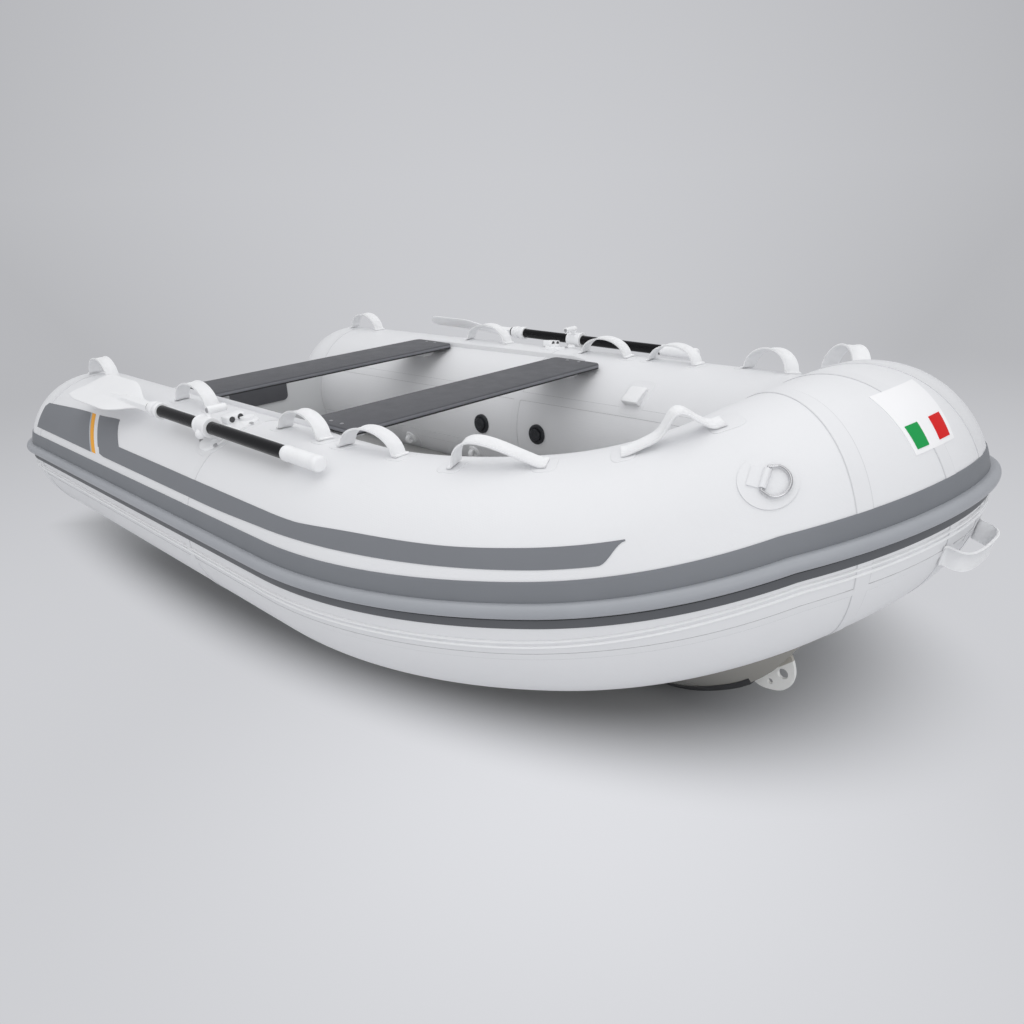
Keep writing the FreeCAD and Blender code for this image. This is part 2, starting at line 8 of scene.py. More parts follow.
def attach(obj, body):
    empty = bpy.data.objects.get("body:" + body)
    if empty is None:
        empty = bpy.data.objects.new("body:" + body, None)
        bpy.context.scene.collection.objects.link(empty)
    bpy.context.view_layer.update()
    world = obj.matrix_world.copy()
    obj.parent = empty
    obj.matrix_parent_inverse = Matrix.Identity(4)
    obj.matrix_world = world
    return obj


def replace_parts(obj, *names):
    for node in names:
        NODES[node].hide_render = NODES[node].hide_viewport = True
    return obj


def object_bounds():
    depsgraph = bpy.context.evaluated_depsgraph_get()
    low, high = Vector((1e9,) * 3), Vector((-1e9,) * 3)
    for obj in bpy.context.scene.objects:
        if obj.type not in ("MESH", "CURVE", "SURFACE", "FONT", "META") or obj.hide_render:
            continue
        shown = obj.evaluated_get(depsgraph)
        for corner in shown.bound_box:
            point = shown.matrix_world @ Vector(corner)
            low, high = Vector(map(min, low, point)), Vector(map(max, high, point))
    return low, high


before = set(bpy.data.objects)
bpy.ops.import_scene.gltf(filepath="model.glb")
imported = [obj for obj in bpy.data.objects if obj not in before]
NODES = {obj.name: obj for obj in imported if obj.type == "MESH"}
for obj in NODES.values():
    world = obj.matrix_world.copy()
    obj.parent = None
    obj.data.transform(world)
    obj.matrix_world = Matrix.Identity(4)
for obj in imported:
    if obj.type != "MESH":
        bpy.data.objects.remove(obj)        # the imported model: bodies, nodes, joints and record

bl_info = {
    "name": "Inflatable boat looks",
    "version": (1, 0, 0),
    "blender": (4, 5, 0),
    "location": "View3D > Sidebar > Boat",
    "description": "Skins, seams, webbing, oars and studio for an inflatable boat with a rigid hull",
    "category": "Object",
}

CAD_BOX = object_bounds()
SIDES = (("port", 1), ("starboard", -1))

# Collar centreline in metres, as the solids have it, from the bow tip aft: bends that end at a yaw and
# pitch, or after a turn in degrees, and then a straight run to the stern
ORIGIN = Vector((-1.5078, 0.0, 0.460))      # the solids' stern datum in the frame
TUBE_R = 0.260
BOW_TIP = Vector((2.8283, 0.0, 0.2235))
BOW_TILT = 31.0
BENDS = ((0.3222, None, None, 46.6), (1.0406, -29.1, 6.5, None), (1.1583, 1.35, 0.93, None))
STERN_X = 0.150
UP, FORWARD = Vector((0, 0, 1)), Vector((1, 0, 0))

# Rubbing strake: angles of the band and how they rise to the bow, the bead, and the wrap at the stern
STRAKE_LOW, STRAKE_TOP, STRAKE_RISE = -3.4, 17.5, 3.4
BEAD_DEG, BEAD_W, BEAD_H = 4.9, 0.030, 0.023
STRAKE_WRAP = 68.0


def turned(vector, axis, angle):
    return Matrix.Rotation(angle, 3, axis) @ vector


def heading(yaw, pitch):
    a, b = math.radians(yaw), math.radians(pitch)
    return Vector((math.cos(a) * math.cos(b), math.sin(a) * math.cos(b), math.sin(b)))


def centreline():
    """Arcs of the port centreline from the bow tip aft, with the point and travel where they end."""
    tilt = math.radians(BOW_TILT)
    point, travel = BOW_TIP + ORIGIN, Vector((0, 1, 0))
    arcs = []
    for radius, yaw, pitch, turn in BENDS:
        if turn is None:
            goal = -heading(yaw, pitch)
            axis = travel.cross(goal)
            angle = math.atan2(axis.length, travel.dot(goal))
        else:
            axis = travel.cross(Vector((-math.cos(tilt), 0, -math.sin(tilt))))
            angle = math.radians(turn)
        axis.normalize()
        centre = point + axis.cross(travel) * radius
        arcs.append((point, travel, centre, axis, radius, angle))
        point = centre + turned(point - centre, axis, angle)
        travel = turned(travel, axis, angle)
    return arcs, point, travel


ARCS, RUN_POINT, RUN_TRAVEL = centreline()
RUN = (STERN_X + ORIGIN.x - RUN_POINT.x) / RUN_TRAVEL.x
LENGTH = RUN + sum(arc[4] * arc[5] for arc in ARCS)


def flip(v):
    return Vector((v.x, -v.y, v.z))


def on_side(v, side):
    """A port place or direction as it is, or its mirror image for the starboard side."""
    return v if side > 0 else flip(v)


def local(s, side=1):
    """Centre, forward, outboard and upward at a distance from the stern; past the tip it comes back."""
    if s > LENGTH:
        return local(2 * LENGTH - s, -side)
    left = LENGTH - max(s, 0.0)
    for point, start, pivot, axis, radius, angle in ARCS:
        if left <= radius * angle:
            centre = pivot + turned(point - pivot, axis, left / radius)
            travel = turned(start, axis, left / radius)
            break
        left -= radius * angle
    else:
        centre, travel = RUN_POINT + RUN_TRAVEL * left, RUN_TRAVEL
    forward = -travel
    out = -forward.cross(UP)
    out.normalize()
    up = forward.cross(out)
    return tuple(on_side(v, side) for v in (centre, forward, out, up))


def solve(x):
    """Distance from the stern where the centreline reaches this station, from the stern datum."""
    low, high = 0.0, LENGTH
    for _ in range(40):
        mid = (low + high) / 2
        if local(mid)[0].x < x + ORIGIN.x:
            low = mid
        else:
            high = mid
    return (low + high) / 2


def skin_frame(s, deg, side=1):
    """Point on the tube, its outward normal, the direction of growing angle, and forward."""
    centre, forward, out, up = local(s, side)
    a = math.radians(deg)
    normal = out * math.cos(a) + up * math.sin(a)
    if s < 0:
        bend = -s / TUBE_R
        normal = normal * math.cos(bend) - forward * math.sin(bend)
    return centre + normal * TUBE_R, normal, up * math.cos(a) - out * math.sin(a), forward


def skin(s, deg, off=0.0, side=1):
    point, normal = skin_frame(s, deg, side)[:2]
    return point + normal * off


def smooth_step(a, b, x):
    t = min(max((x - a) / (b - a), 0.0), 1.0)
    return t * t * (3 - 2 * t)


# Meshes

def mesh_object(name, verts, faces, uvs=None, sharp=35.0, body="boat", slot=None):
    """A smooth mesh piece that rides on a body, with one UV for each vertex."""
    mesh = bpy.data.meshes.new(name)
    mesh.from_pydata([tuple(v) for v in verts], [], faces)
    mesh.validate()
    if uvs:
        layer = mesh.uv_layers.new(name="surface")
        for loop in mesh.loops:
            layer.data[loop.index].uv = uvs[loop.vertex_index]
    mesh.shade_smooth()
    mesh.set_sharp_from_angle(angle=math.radians(sharp))
    piece = bpy.data.objects.new(name, mesh)
    bpy.context.scene.collection.objects.link(piece)
    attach(piece, body)
    return piece


def ring_solid(name, rings, joined=False, ends=True, **more):
    """Skin over a row of equal closed rings; joined ties the last ring to the first."""
    count = len(rings[0])
    verts, uvs, faces = [], [], []
    run = 0.0
    for i, ring in enumerate(rings):
        if i:
            run += (ring[0] - rings[i - 1][0]).length
        lap = 0.0
        for j, p in enumerate(ring):
            lap += (p - ring[j - 1]).length if j else 0.0
            verts.append(p)
            uvs.append((run, lap))
    rows = len(rings)
    for i in range(rows if joined else rows - 1):
        k = (i + 1) % rows
        for j in range(count):
            n = (j + 1) % count
            faces.append((i * count + j, i * count + n, k * count + n, k * count + j))
    if ends and not joined:
        faces.append(tuple(reversed(range(count))))
        faces.append(tuple(range((rows - 1) * count, rows * count)))
    return mesh_object(name, verts, faces, uvs, **more)


def shell(name, top, low, **more):
    """Closed thin piece between two equal grids of points."""
    rings = [list(a) + list(reversed(b)) for a, b in zip(top, low)]
    return ring_solid(name, rings, **more)


def skin_shell(name, rows, thick, sink=0.0012, side=1, **more):
    """Thin piece lying on the tube. Rows hold (distance, low angle, high angle)."""
    cols = max(max(2, round(abs(b - a) / 2.5) + 1) for s, a, b in rows)
    tops, lows = [], []
    for s, a, b in rows:
        angles = [a + (b - a) * j / (cols - 1) for j in range(cols)]
        tops.append([skin(s, d, thick, side) for d in angles])
        lows.append([skin(s, d, -sink, side) for d in angles])
    piece = shell(name, tops, lows, **more)
    if side < 0:
        piece.data.flip_normals()
    return piece


def steps(a, b, step):
    """Evenly spaced values from a to b, about a step apart."""
    count = max(1, math.ceil(abs(b - a) / step))
    return [a + (b - a) * i / count for i in range(count + 1)]


def turns(count):
    """Angles of equal steps round a full turn."""
    return [2 * math.pi * j / count for j in range(count)]


# Shader maths as expressions

def maths(operation, swapped=False):
    """Method that adds one Math node, with its two sides swapped for the reflected operators."""
    def made(self, other=0.0):
        a, b = (other, self) if swapped else (self, other)
        return self.shader.node("ShaderNodeMath", {"operation": operation}, {0: a, 1: b})
    return made


class Value:
    """A socket whose operators add Math nodes."""

    def __init__(self, shader, socket):
        self.shader, self.socket = shader, socket

    __add__, __radd__ = maths("ADD"), maths("ADD", True)
    __sub__, __rsub__ = maths("SUBTRACT"), maths("SUBTRACT", True)
    __mul__, __rmul__ = maths("MULTIPLY"), maths("MULTIPLY", True)
    __truediv__, __pow__, __abs__ = maths("DIVIDE"), maths("POWER"), maths("ABSOLUTE")
    sine, most, least = maths("SINE"), maths("MAXIMUM"), maths("MINIMUM")


class Shader:
    """Nodes of a new material with a Principled surface, or of a given world."""

    def __init__(self, name, owner=None):
        self.owner = owner or bpy.data.materials.new(name)
        self.owner.use_nodes = True
        self.tree = self.owner.node_tree
        self.surface = self.tree.nodes.get("Principled BSDF")

    def node(self, kind, settings=None, sockets=None, output=0):
        """Adds a node: its settings first, then values or links of its sockets."""
        made = self.tree.nodes.new(kind)
        for key, value in (settings or {}).items():
            setattr(made, key, value)
        for key, value in (sockets or {}).items():
            self.link(value, made.inputs[key])
        return Value(self, made.outputs[output])

    def link(self, value, socket):
        if isinstance(value, Value):
            self.tree.links.new(value.socket, socket)
        else:
            socket.default_value = (*value, 1.0) if socket.type == "RGBA" else value

    def set(self, **sockets):
        for key, value in sockets.items():
            self.link(value, self.surface.inputs[key.replace("_", " ")])

    def place(self, kind="Object"):
        """Texture coordinates of a kind: Object, UV or Generated."""
        return self.node("ShaderNodeTexCoord", output=kind)

    def parts(self, vector):
        split = self.tree.nodes.new("ShaderNodeSeparateXYZ")
        self.tree.links.new(vector.socket, split.inputs[0])
        return [Value(self, split.outputs[i]) for i in range(3)]

    def noise(self, scale, detail=3.0):
        sockets = {"Vector": self.place(), "Scale": scale, "Detail": detail}
        return self.node("ShaderNodeTexNoise", {}, sockets)

    def fade(self, value, low, high):
        """Smooth step from zero to one."""
        sockets = {0: value, 1: low, 2: high}
        return self.node("ShaderNodeMapRange", {"interpolation_type": "SMOOTHSTEP"}, sockets)

    def mix(self, share, a, b):
        return self.node("ShaderNodeMix", {"data_type": "RGBA"}, {0: share, 6: a, 7: b}, output=2)

    def tinted(self, colour, spread, scale):
        """A colour that drifts a little lighter and darker over the surface."""
        dark = tuple(c * (1 - spread) for c in colour)
        light = tuple(min(c * (1 + spread), 1.0) for c in colour)
        return self.mix(self.noise(scale), dark, light)

    def worn(self, rough, scale, swing, detail=3.0):
        """Roughness that drifts about its middle value."""
        return rough + (self.noise(scale, detail) - 0.5) * swing

    def finish(self, colour, rough, relief, ior=1.5, **more):
        """Sets the surface and its bump from (height, depth, strength), and gives the material."""
        height, depth, strength = relief
        sockets = {"Strength": strength, "Distance": depth, "Height": height}
        normal = self.node("ShaderNodeBump", {}, sockets)
        self.set(Base_Color=colour, Roughness=rough, IOR=ior, Normal=normal, **more)
        return self.owner


def fabric_material(name, colour, weave=900.0, rough=0.42, coat=0.10):
    """Coated boat fabric: fine base cloth printing through a satin coat."""
    sh = Shader(name)
    x, y, z = sh.parts(sh.place())
    cloth = ((x * weave).sine() + (y * weave).sine()) * (z * weave).sine()
    relief = (cloth * 0.25 + sh.noise(26.0, 4.0) * 2.2, 0.00022, 0.8)
    return sh.finish(sh.tinted(colour, 0.022, 3.5), sh.worn(rough, 7.0, 0.14, 4.0), relief, 1.47,
                     Coat_Weight=coat, Coat_Roughness=0.35)


def rubber_material(name, colour, rough=0.46):
    sh = Shader(name)
    relief = (sh.noise(1500.0, 2.0), 0.00012, 0.7)
    return sh.finish(sh.tinted(colour, 0.05, 12.0), sh.worn(rough, 9.0, 0.16, 4.0), relief)


def gelcoat_material(name, colour, rough=0.16):
    sh = Shader(name)
    relief = (sh.noise(240.0, 2.0), 0.0001, 0.5)
    return sh.finish(sh.tinted(colour, 0.02, 2.5), sh.worn(rough, 14.0, 0.08), relief,
                     Coat_Weight=0.6, Coat_Roughness=0.08)


def plate_material(name, colour, upper):
    """Painted plate, beige and darker above a line along the stem."""
    sh = Shader(name)
    x, y, z = sh.parts(sh.place())
    above_stem = z - (x - 1.2082) * 0.835
    share = sh.node("ShaderNodeMapRange", {}, {0: above_stem, 1: 0.1805, 2: 0.1835})
    relief = (sh.noise(600.0), 0.00005, 0.5)
    return sh.finish(sh.mix(share, colour, upper), 0.3 + sh.noise(40.0) * 0.1, relief)


def deck_material(name, colour):
    """Gelcoat with moulded non-slip diamonds."""
    sh = Shader(name)
    x, y, z = sh.parts(sh.place())
    grip = ((x + y) * 620.0).sine() * ((x - y) * 620.0).sine()
    relief = (abs(grip), 0.0006, 0.8)
    return sh.finish(sh.tinted(colour, 0.03, 5.0), 0.38 + sh.noise(20.0) * 0.1, relief)


def board_material(name, colour, rough=0.5):
    """Dark seat board with a fine pebbled face."""
    sh = Shader(name)
    pebble = sh.node("ShaderNodeTexVoronoi", {"feature": "F1"}, {"Vector": sh.place(), "Scale": 900.0})
    relief = (pebble, 0.00016, 0.7)
    return sh.finish(sh.tinted(colour, 0.09, 18.0), sh.worn(rough, 24.0, 0.18), relief, 1.48)


def webbing_material(name, colour):
    """Tightly woven strap: ribs along and across it, from its UV."""
    sh = Shader(name)
    u, v, w = sh.parts(sh.place("UV"))
    weave = (u * 2900.0).sine() * (v * 2100.0).sine()
    relief = (weave + sh.noise(500.0) * 0.6, 0.00022, 0.8)
    return sh.finish(sh.tinted(colour, 0.03, 30.0), 0.55 + weave * 0.05, relief, 1.45)


def plastic_material(name, colour, rough=0.33):
    sh = Shader(name)
    relief = (sh.noise(900.0, 2.0), 0.00005, 0.6)
    return sh.finish(sh.tinted(colour, 0.02, 16.0), sh.worn(rough, 30.0, 0.1), relief)


def metal_material(name, colour, rough=0.14):
    sh = Shader(name)
    brushed = sh.noise(320.0, 4.0)
    relief = (brushed, 0.00003, 0.5)
    return sh.finish(sh.tinted(colour, 0.03, 30.0), rough + brushed * 0.1, relief, Metallic=1.0)


def print_material(name, colour, rough=0.4):
    """Thin printed or painted film."""
    sh = Shader(name)
    relief = (sh.noise(420.0), 0.00006, 0.6)
    return sh.finish(sh.tinted(colour, 0.03, 8.0), sh.worn(rough, 12.0, 0.1), relief, 1.48,
                     Specular_IOR_Level=0.22)


# Settings a user would change

def size(name, description, default, unit="LENGTH"):
    return FloatProperty(name=name, description=description, default=default, unit=unit, precision=4)


def colour(name, description, default):
    return FloatVectorProperty(name=name, description=description, default=default, subtype="COLOR",
                               size=3, min=0.0, max=1.0)


class BoatSizes(bpy.types.PropertyGroup):
    tape_width: size("Seam tape width", "Width of the tapes glued over the collar's seams", 0.030)
    tape_thick: size("Seam tape thickness", "How far a seam tape stands off the skin", 0.0009)
    glue_line: size("Glue line", "How far the glue shows past a tape's edge", 0.0009)
    film_thick: size("Print thickness", "How far a printed panel stands off the skin", 0.0012)
    strap_width: size("Strap width", "Width of the grab loops' webbing", 0.046)
    strap_thick: size("Strap thickness", "Thickness of the webbing between its rims", 0.0030)
    rim_height: size("Strap rim", "Height of the raised edges of the webbing", 0.0022)


class BoatColours(bpy.types.PropertyGroup):
    fabric: colour("Collar fabric", "Pale grey-white of the air tubes", (0.80, 0.805, 0.82))
    strake: colour("Strake band", "Grey of the rubbing strake", (0.200, 0.211, 0.230))
    bead: colour("Strake bead", "Grey of the rounded bead", (0.365, 0.380, 0.407))
    graphic: colour("Side graphic", "Grey of the printed side panels", (0.205, 0.214, 0.232))
    orange: colour("Accent line", "Warm line between the side panels", (0.93, 0.42, 0.03))
    hull: colour("Hull", "Grey-beige gelcoat of the hull", (0.30, 0.29, 0.265))
    board: colour("Seat board", "Dark grey of the seats", (0.098, 0.100, 0.110))
    webbing: colour("Webbing", "White of straps and small fittings", (0.89, 0.895, 0.905))


class StudioSettings(bpy.types.PropertyGroup):
    lens: size("Lens", "Focal length in millimetres on a 36 mm sensor", 30.79, "NONE")
    key_power: size("Key light", "Power of the overhead softbox", 46.0, "POWER")
    fill_power: size("Fill light", "Power of the front softbox", 34.0, "POWER")
    sky: size("Sky strength", "Light of the white studio all round", 0.78, "NONE")


def sizes():
    return bpy.context.scene.boat_sizes


def rgb(value):
    return tuple(value[:3])


MATERIALS = {}


def use(piece, name):
    """Gives a piece or a CAD node one of the boat's materials."""
    piece.data.materials.clear()
    piece.data.materials.append(MATERIALS[name])
    return piece


# Materials of the solids that stay, by a part of the node's name; a later one goes over an earlier one
SOLIDS = (("deck_panel", "deck"), ("transom_board", "transom"), ("keel_strip", "keel"),
          ("_d_ring", "steel"), ("d_ring_patch", "fabric"), ("oar_shaft", "shaft"),
          ("seat_clips", "plastic"), ("rowlock", "plastic"))


class BOAT_OT_materials(bpy.types.Operator):
    """Make the boat's materials and put them on the solids that stay."""

    bl_idname = "boat.materials"
    bl_label = "Materials"

    def execute(self, context):
        h = context.scene.boat_colours
        MATERIALS.update({
            "fabric": fabric_material("collar fabric", rgb(h.fabric)),
            "tape": fabric_material("seam tape", tuple(c * 0.985 for c in rgb(h.fabric)), 1100.0, 0.36, 0.2),
            "strake": rubber_material("strake rubber", rgb(h.strake)),
            "bead": rubber_material("bead rubber", rgb(h.bead), 0.34),
            "graphic": print_material("side graphic", rgb(h.graphic)),
            "orange": print_material("accent line", rgb(h.orange)),
            "pale line": print_material("pale line", (0.42, 0.46, 0.50)),
            "label": print_material("label film", (0.90, 0.90, 0.91), 0.3),
            "green": print_material("green band", (0.010, 0.33, 0.075), 0.3),
            "red": print_material("red band", (0.68, 0.004, 0.004), 0.3),
            "seam line": fabric_material("glue line", (0.46, 0.465, 0.475)),
            "ring line": fabric_material("pale glue line", (0.66, 0.665, 0.68)),
            "rib": fabric_material("tape rib", (0.90, 0.905, 0.915), 1100.0, 0.34, 0.2),
            # Lower edge of the strake band: its grey painted darker as the shade under the bead.
            "shade_strip": rubber_material("strake foot painted shade", (0.105, 0.110, 0.120)),
            "hull": gelcoat_material("hull gelcoat", rgb(h.hull)),
            "transom": gelcoat_material("transom gelcoat", (0.70, 0.71, 0.72), 0.25),
            "deck": deck_material("deck non-slip", (0.47, 0.47, 0.465)),
            "keel": rubber_material("keel guard", (0.030, 0.030, 0.032), 0.6),
            # Black line, painted shade: under the strake's bead, and at the foot of a seat board's rim.
            "shade_line": rubber_material("strake painted shade line", (0.020, 0.021, 0.023), 0.6),
            # Lighter grey of the seat boards' rounded edges: a painted highlight.
            "edge": board_material("seat edge painted highlight", tuple(c * 1.9 for c in rgb(h.board)), 0.4),
            # Near-black discs in the rowlock's sockets: painted shade of their hollows.
            "dark": plastic_material("recess painted shade", (0.060, 0.060, 0.064), 0.5),
            "screw": metal_material("screw heads", (0.55, 0.55, 0.56), 0.28),
            "board": board_material("seat board", rgb(h.board)),
            "webbing": webbing_material("webbing", rgb(h.webbing)),
            "plastic": plastic_material("white moulding", rgb(h.webbing)),
            "valve": plastic_material("valve moulding", (0.020, 0.022, 0.027), 0.4),
            "shaft": print_material("oar shaft", (0.005, 0.005, 0.006), 0.26),
            "steel": metal_material("polished steel", (0.74, 0.74, 0.75)),
            "plate": plate_material("tow plate", (0.86, 0.86, 0.84), (0.42, 0.40, 0.36)),
        })
        for part, material in SOLIDS:
            for name, node in NODES.items():
                if part in name:
                    use(node, material)
        return {"FINISHED"}


# Seams round the tube: distance from the stern, how far the tape leans to the bow at its top, and its
# share of the full width
TAPE_RINGS = ((0.030, 0.0, 1.0), (1.262, 0.0, 1.0), (2.800, 0.042, 0.62), (2.941, 0.0, 0.62))
LONG_SEAMS = (-161.0, 150.0)        # angles of the seams along the tube
BOW_SEAM_Y = 0.172                  # where the tubes end and the bow section starts


def tube_relief(s, deg):
    """How the taut fabric dips by its seams and puckers faintly inside the bends."""
    dip = 0.0
    for seam, lean, share in TAPE_RINGS:
        place = seam + lean * math.sin(math.radians(deg))
        dip += 0.0007 * math.exp(-((s - place) / 0.030) ** 2)
    inner = 0.5 - 0.5 * math.cos(math.radians(deg))
    bend = smooth_step(RUN + 0.2, LENGTH - 0.25, s) * inner ** 3
    pucker = noise.noise(Vector((s * 34.0, deg * 0.05, 0.0)))
    return -dip - 0.0011 * bend * (0.5 + 0.5 * pucker)


def tube_rings(s0, s1, side, step=0.012, around=128):
    rings = []
    for s in steps(s0, s1, step):
        centre, forward, out, up = local(s, side)
        ring = []
        for j in range(around):
            deg = -360.0 * j / around - 90.0
            a = math.radians(deg)
            r = TUBE_R + tube_relief(min(s, 2 * LENGTH - s), deg)
            ring.append(centre + (out * math.cos(a) + up * math.sin(a)) * r)
        rings.append(ring if side > 0 else ring[::-1])
    return rings


class BOAT_OT_collar(bpy.types.Operator):
    """Skins of the air tubes, their stern domes and the bow section."""

    bl_idname = "boat.collar"
    bl_label = "Collar skins"

    def execute(self, context):
        seam = next(s for s in steps(RUN, LENGTH, 0.0005) if local(s)[0].y < BOW_SEAM_Y)
        for side_name, side in SIDES:
            tube = ring_solid(side_name + "_tube_skin", tube_rings(0.0, seam, side), ends=False,
                              slot="collar_fabric")
            use(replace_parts(tube, side_name + "_tube"), "fabric")
            rings = []
            for s in steps(-TUBE_R * math.pi / 2 + 0.0015, 0.0, 0.010):
                ring = [skin(s, -360.0 * j / 128 - 90.0, -0.00005, side) for j in range(128)]
                rings.append(ring if side > 0 else ring[::-1])
            dome = ring_solid(side_name + "_dome_skin", rings, slot="collar_fabric")
            use(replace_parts(dome, side_name + "_stern_dome"), "fabric")
        rings = tube_rings(seam, LENGTH, 1, 0.008)
        rings += [[flip(p) for p in ring] for ring in reversed(rings[:-1])]
        bow = ring_solid("bow_tube_skin", rings, ends=False, slot="collar_fabric")
        use(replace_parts(bow, "bow_tube"), "fabric")
        return {"FINISHED"}


def tape_layers(glue):
    """The tape, and the glue that shows past its edges: how much wider, thickness and material."""
    z = sizes()
    return (0.0, z.tape_thick, "tape"), (z.glue_line, z.tape_thick * 0.4, glue)


def rib_deg(s):
    """Angle of the upper of the two ribs under the strake."""
    return -8.2 + 5.2 * smooth_step(2.2, 2.75, s)


def foot_deg(s):
    """Angle of the middle of the tape below the ribs."""
    return rib_deg(s) - 8.5 - 2.6 * smooth_step(2.3, 2.66, s)


# One rib's outline, as (angle, height)
RIB = ((-0.7, 0.0002), (-0.6, 0.0024), (-0.1, 0.0044), (0.4, 0.0040), (0.6, 0.0022), (0.7, 0.0002))


class BOAT_OT_seams(bpy.types.Operator):
    """Tapes glued over the collar's seams, round the tubes and along them, and the ribs under the strake."""

    bl_idname = "boat.seams"
    bl_label = "Seam tapes"

    def execute(self, context):
        half = sizes().tape_width / 2
        wide = math.degrees(half / TUBE_R)
        for side_name, side in SIDES:
            for i, (s, lean, share) in enumerate(TAPE_RINGS, 1):
                layers = tape_layers("ring line")
                for kind, (more, thick, material) in zip(("seam_tape", "glue_line"), layers):
                    name = "%s_%s_%d" % (side_name, kind, i)
                    use(ring_tape(name, s, lean, half * share + more, side, thick), material)
            for i, deg in enumerate(LONG_SEAMS, 1):
                long_tape("%s_long_%d" % (side_name, i), side, lambda s, deg=deg: deg, wide)
            long_tape(side_name + "_foot", side, foot_deg, 1.65)
        for i, off in enumerate((0.0, -2.8), 1):
            rib = [(off + a, h) for a, h in RIB]
            strake_piece("lower_rib_%d" % i, rib, None, "rib", "collar_fabric", drift=rib_deg)
        return {"FINISHED"}


def long_tape(name, side, middle, wide):
    """A tape along the tube, with a thin line of glue showing past its edges."""
    for kind, (more, thick, material) in zip(("tape", "glue"), tape_layers("seam line")):
        reach = wide + math.degrees(more / TUBE_R)
        rows = [(s, middle(s) - reach, middle(s) + reach) for s in steps(0.0, LENGTH - 0.004, 0.03)]
        use(skin_shell("%s_%s" % (name, kind), rows, thick, side=side, slot="collar_fabric"), material)


def ring_tape(name, s, lean, half, side, thick):
    """A tape round the tube at one distance, closed on itself."""
    rings = []
    for j in range(144):
        deg = 360.0 * j / 144
        middle = s + lean * math.sin(math.radians(deg))
        ring = [skin(middle + half * t, deg, thick * h - 0.0012 * (1 - h), side)
                for t, h in ((-1, 0), (-1, 1), (1, 1), (1, 0))]
        rings.append(ring if side > 0 else ring[::-1])
    return ring_solid(name, rings, joined=True, slot="collar_fabric")


class BOAT_OT_prints(bpy.types.Operator):
    """Printed panels of the tubes' sides and the striped label on the bow."""

    bl_idname = "boat.prints"
    bl_label = "Side and bow prints"

    def execute(self, context):
        thick = sizes().film_thick
        for side_name, side in SIDES:
            def panel(name, material, rows):
                name = "%s_print_%s" % (side_name, name)
                use(skin_shell(name, rows, thick, side=side, slot="collar_patch"), material)
            panel("block", "graphic", [(s, BLOCK_LOW, block_top(s)) for s in steps(0.002, 0.545, 0.0075)])
            panel("pale", "pale line", leaning_strip(0.409, 0.421))
            panel("accent", "orange", leaning_strip(0.421, 0.449))
            stations = steps(TAIL_AFT, TAIL_FORE, 0.0065)
            panel("tail", "graphic", [(s, tail_low(s), tail_top(s)) for s in stations])
        point = label_point()
        use(label("bow_label", point, (0.0, 1.0, 0.0, 1.0), thick), "label")
        low, top = 0.065, 0.40
        use(label("bow_label_green", point, (0.075, 0.33, low, top), thick * 1.8), "green")
        use(label("bow_label_red", point, (0.60, 0.895, low, top), thick * 1.8), "red")
        return {"FINISHED"}


PRINT_TOP, PRINT_LOW = 50.0, 23.7       # angles between which the upright edges lean aft
EDGE_LEAN = 0.138
BLOCK_LOW, BLOCK_FORE = 23.5, 0.406
TAIL_AFT, TAIL_FORE, PANEL_FORE = 0.484, 2.4765, 0.640


def edge_deg(s, top_s):
    """Angle where a leaning edge, which starts at top_s on the upper side, crosses a distance."""
    return PRINT_TOP - (PRINT_TOP - PRINT_LOW) * min(max((s - top_s) / EDGE_LEAN, 0.0), 1.0)


def block_top(s):
    top = 44.4 + 5.6 * smooth_step(-0.10, 0.44, s)
    corner = 3.5 * (1 - smooth_step(0.0, 0.022, s))
    return max(min(top - corner, edge_deg(s, BLOCK_FORE) + 0.2), 23.8)


def leaning_strip(a, b):
    """Narrow panel between two leaning edges, as rows round the tube."""
    rows = []
    for s in steps(a, b + EDGE_LEAN, 0.0045):
        high = edge_deg(s, b) + 0.1
        rows.append((s, min(edge_deg(s, a), high - 0.15), high))
    return rows


def tail_low(s):
    """Lower edge of the second panel and its long tail, with the rounded first corner."""
    low = 24.0 + 2.4 * smooth_step(1.35, 1.85, s) - 1.4 * smooth_step(1.9, 2.35, s)
    low = max(low, edge_deg(s, TAIL_AFT))
    if 0.600 < s < 0.665:
        low += 1.3 * (1 - smooth_step(0.600, 0.665, s))
    return low + 9.0 * smooth_step(2.421, TAIL_FORE, s)


def tail_top(s):
    """Upper edge: the panel, the fall with a rounded inner corner, then the tail."""
    panel = 50.6 + 2.0 * smooth_step(0.48, PANEL_FORE, s)
    fall = 52.4 - (52.4 - 34.6) * min(max((s - PANEL_FORE) / 0.105, 0.0), 1.0) ** 0.85
    tail = 34.7 - 0.6 * smooth_step(1.1, 1.5, s) + 2.2 * smooth_step(1.7, 1.93, s)
    tail -= 1.6 * smooth_step(1.93, 2.2, s)
    high = panel if s < PANEL_FORE else max(fall, tail)
    return max(high, tail_low(s) + 0.2)


def label_point():
    """Function from shares across and up the bow label to a point on the starboard skin."""
    aft, fore = (2.901, 2.907), (2.975, 3.008)
    low, top = 34.8, 67.6

    def point(x, y, off):
        a, b = aft[0] + (aft[1] - aft[0]) * y, fore[0] + (fore[1] - fore[0]) * y
        return skin(a + (b - a) * x, low + (top - low) * y, off, -1)
    return point


def label(name, point, share, thick):
    x0, x1, y0, y1 = share
    tops, lows = [], []
    for i in range(13):
        x = x0 + (x1 - x0) * i / 12
        line = [y0 + (y1 - y0) * j / 14 for j in range(15)]
        tops.append([point(x, y, thick) for y in line])
        lows.append([point(x, y, -0.0012) for y in line])
    piece = shell(name, tops, lows, slot="collar_patch")
    piece.data.flip_normals()
    return piece


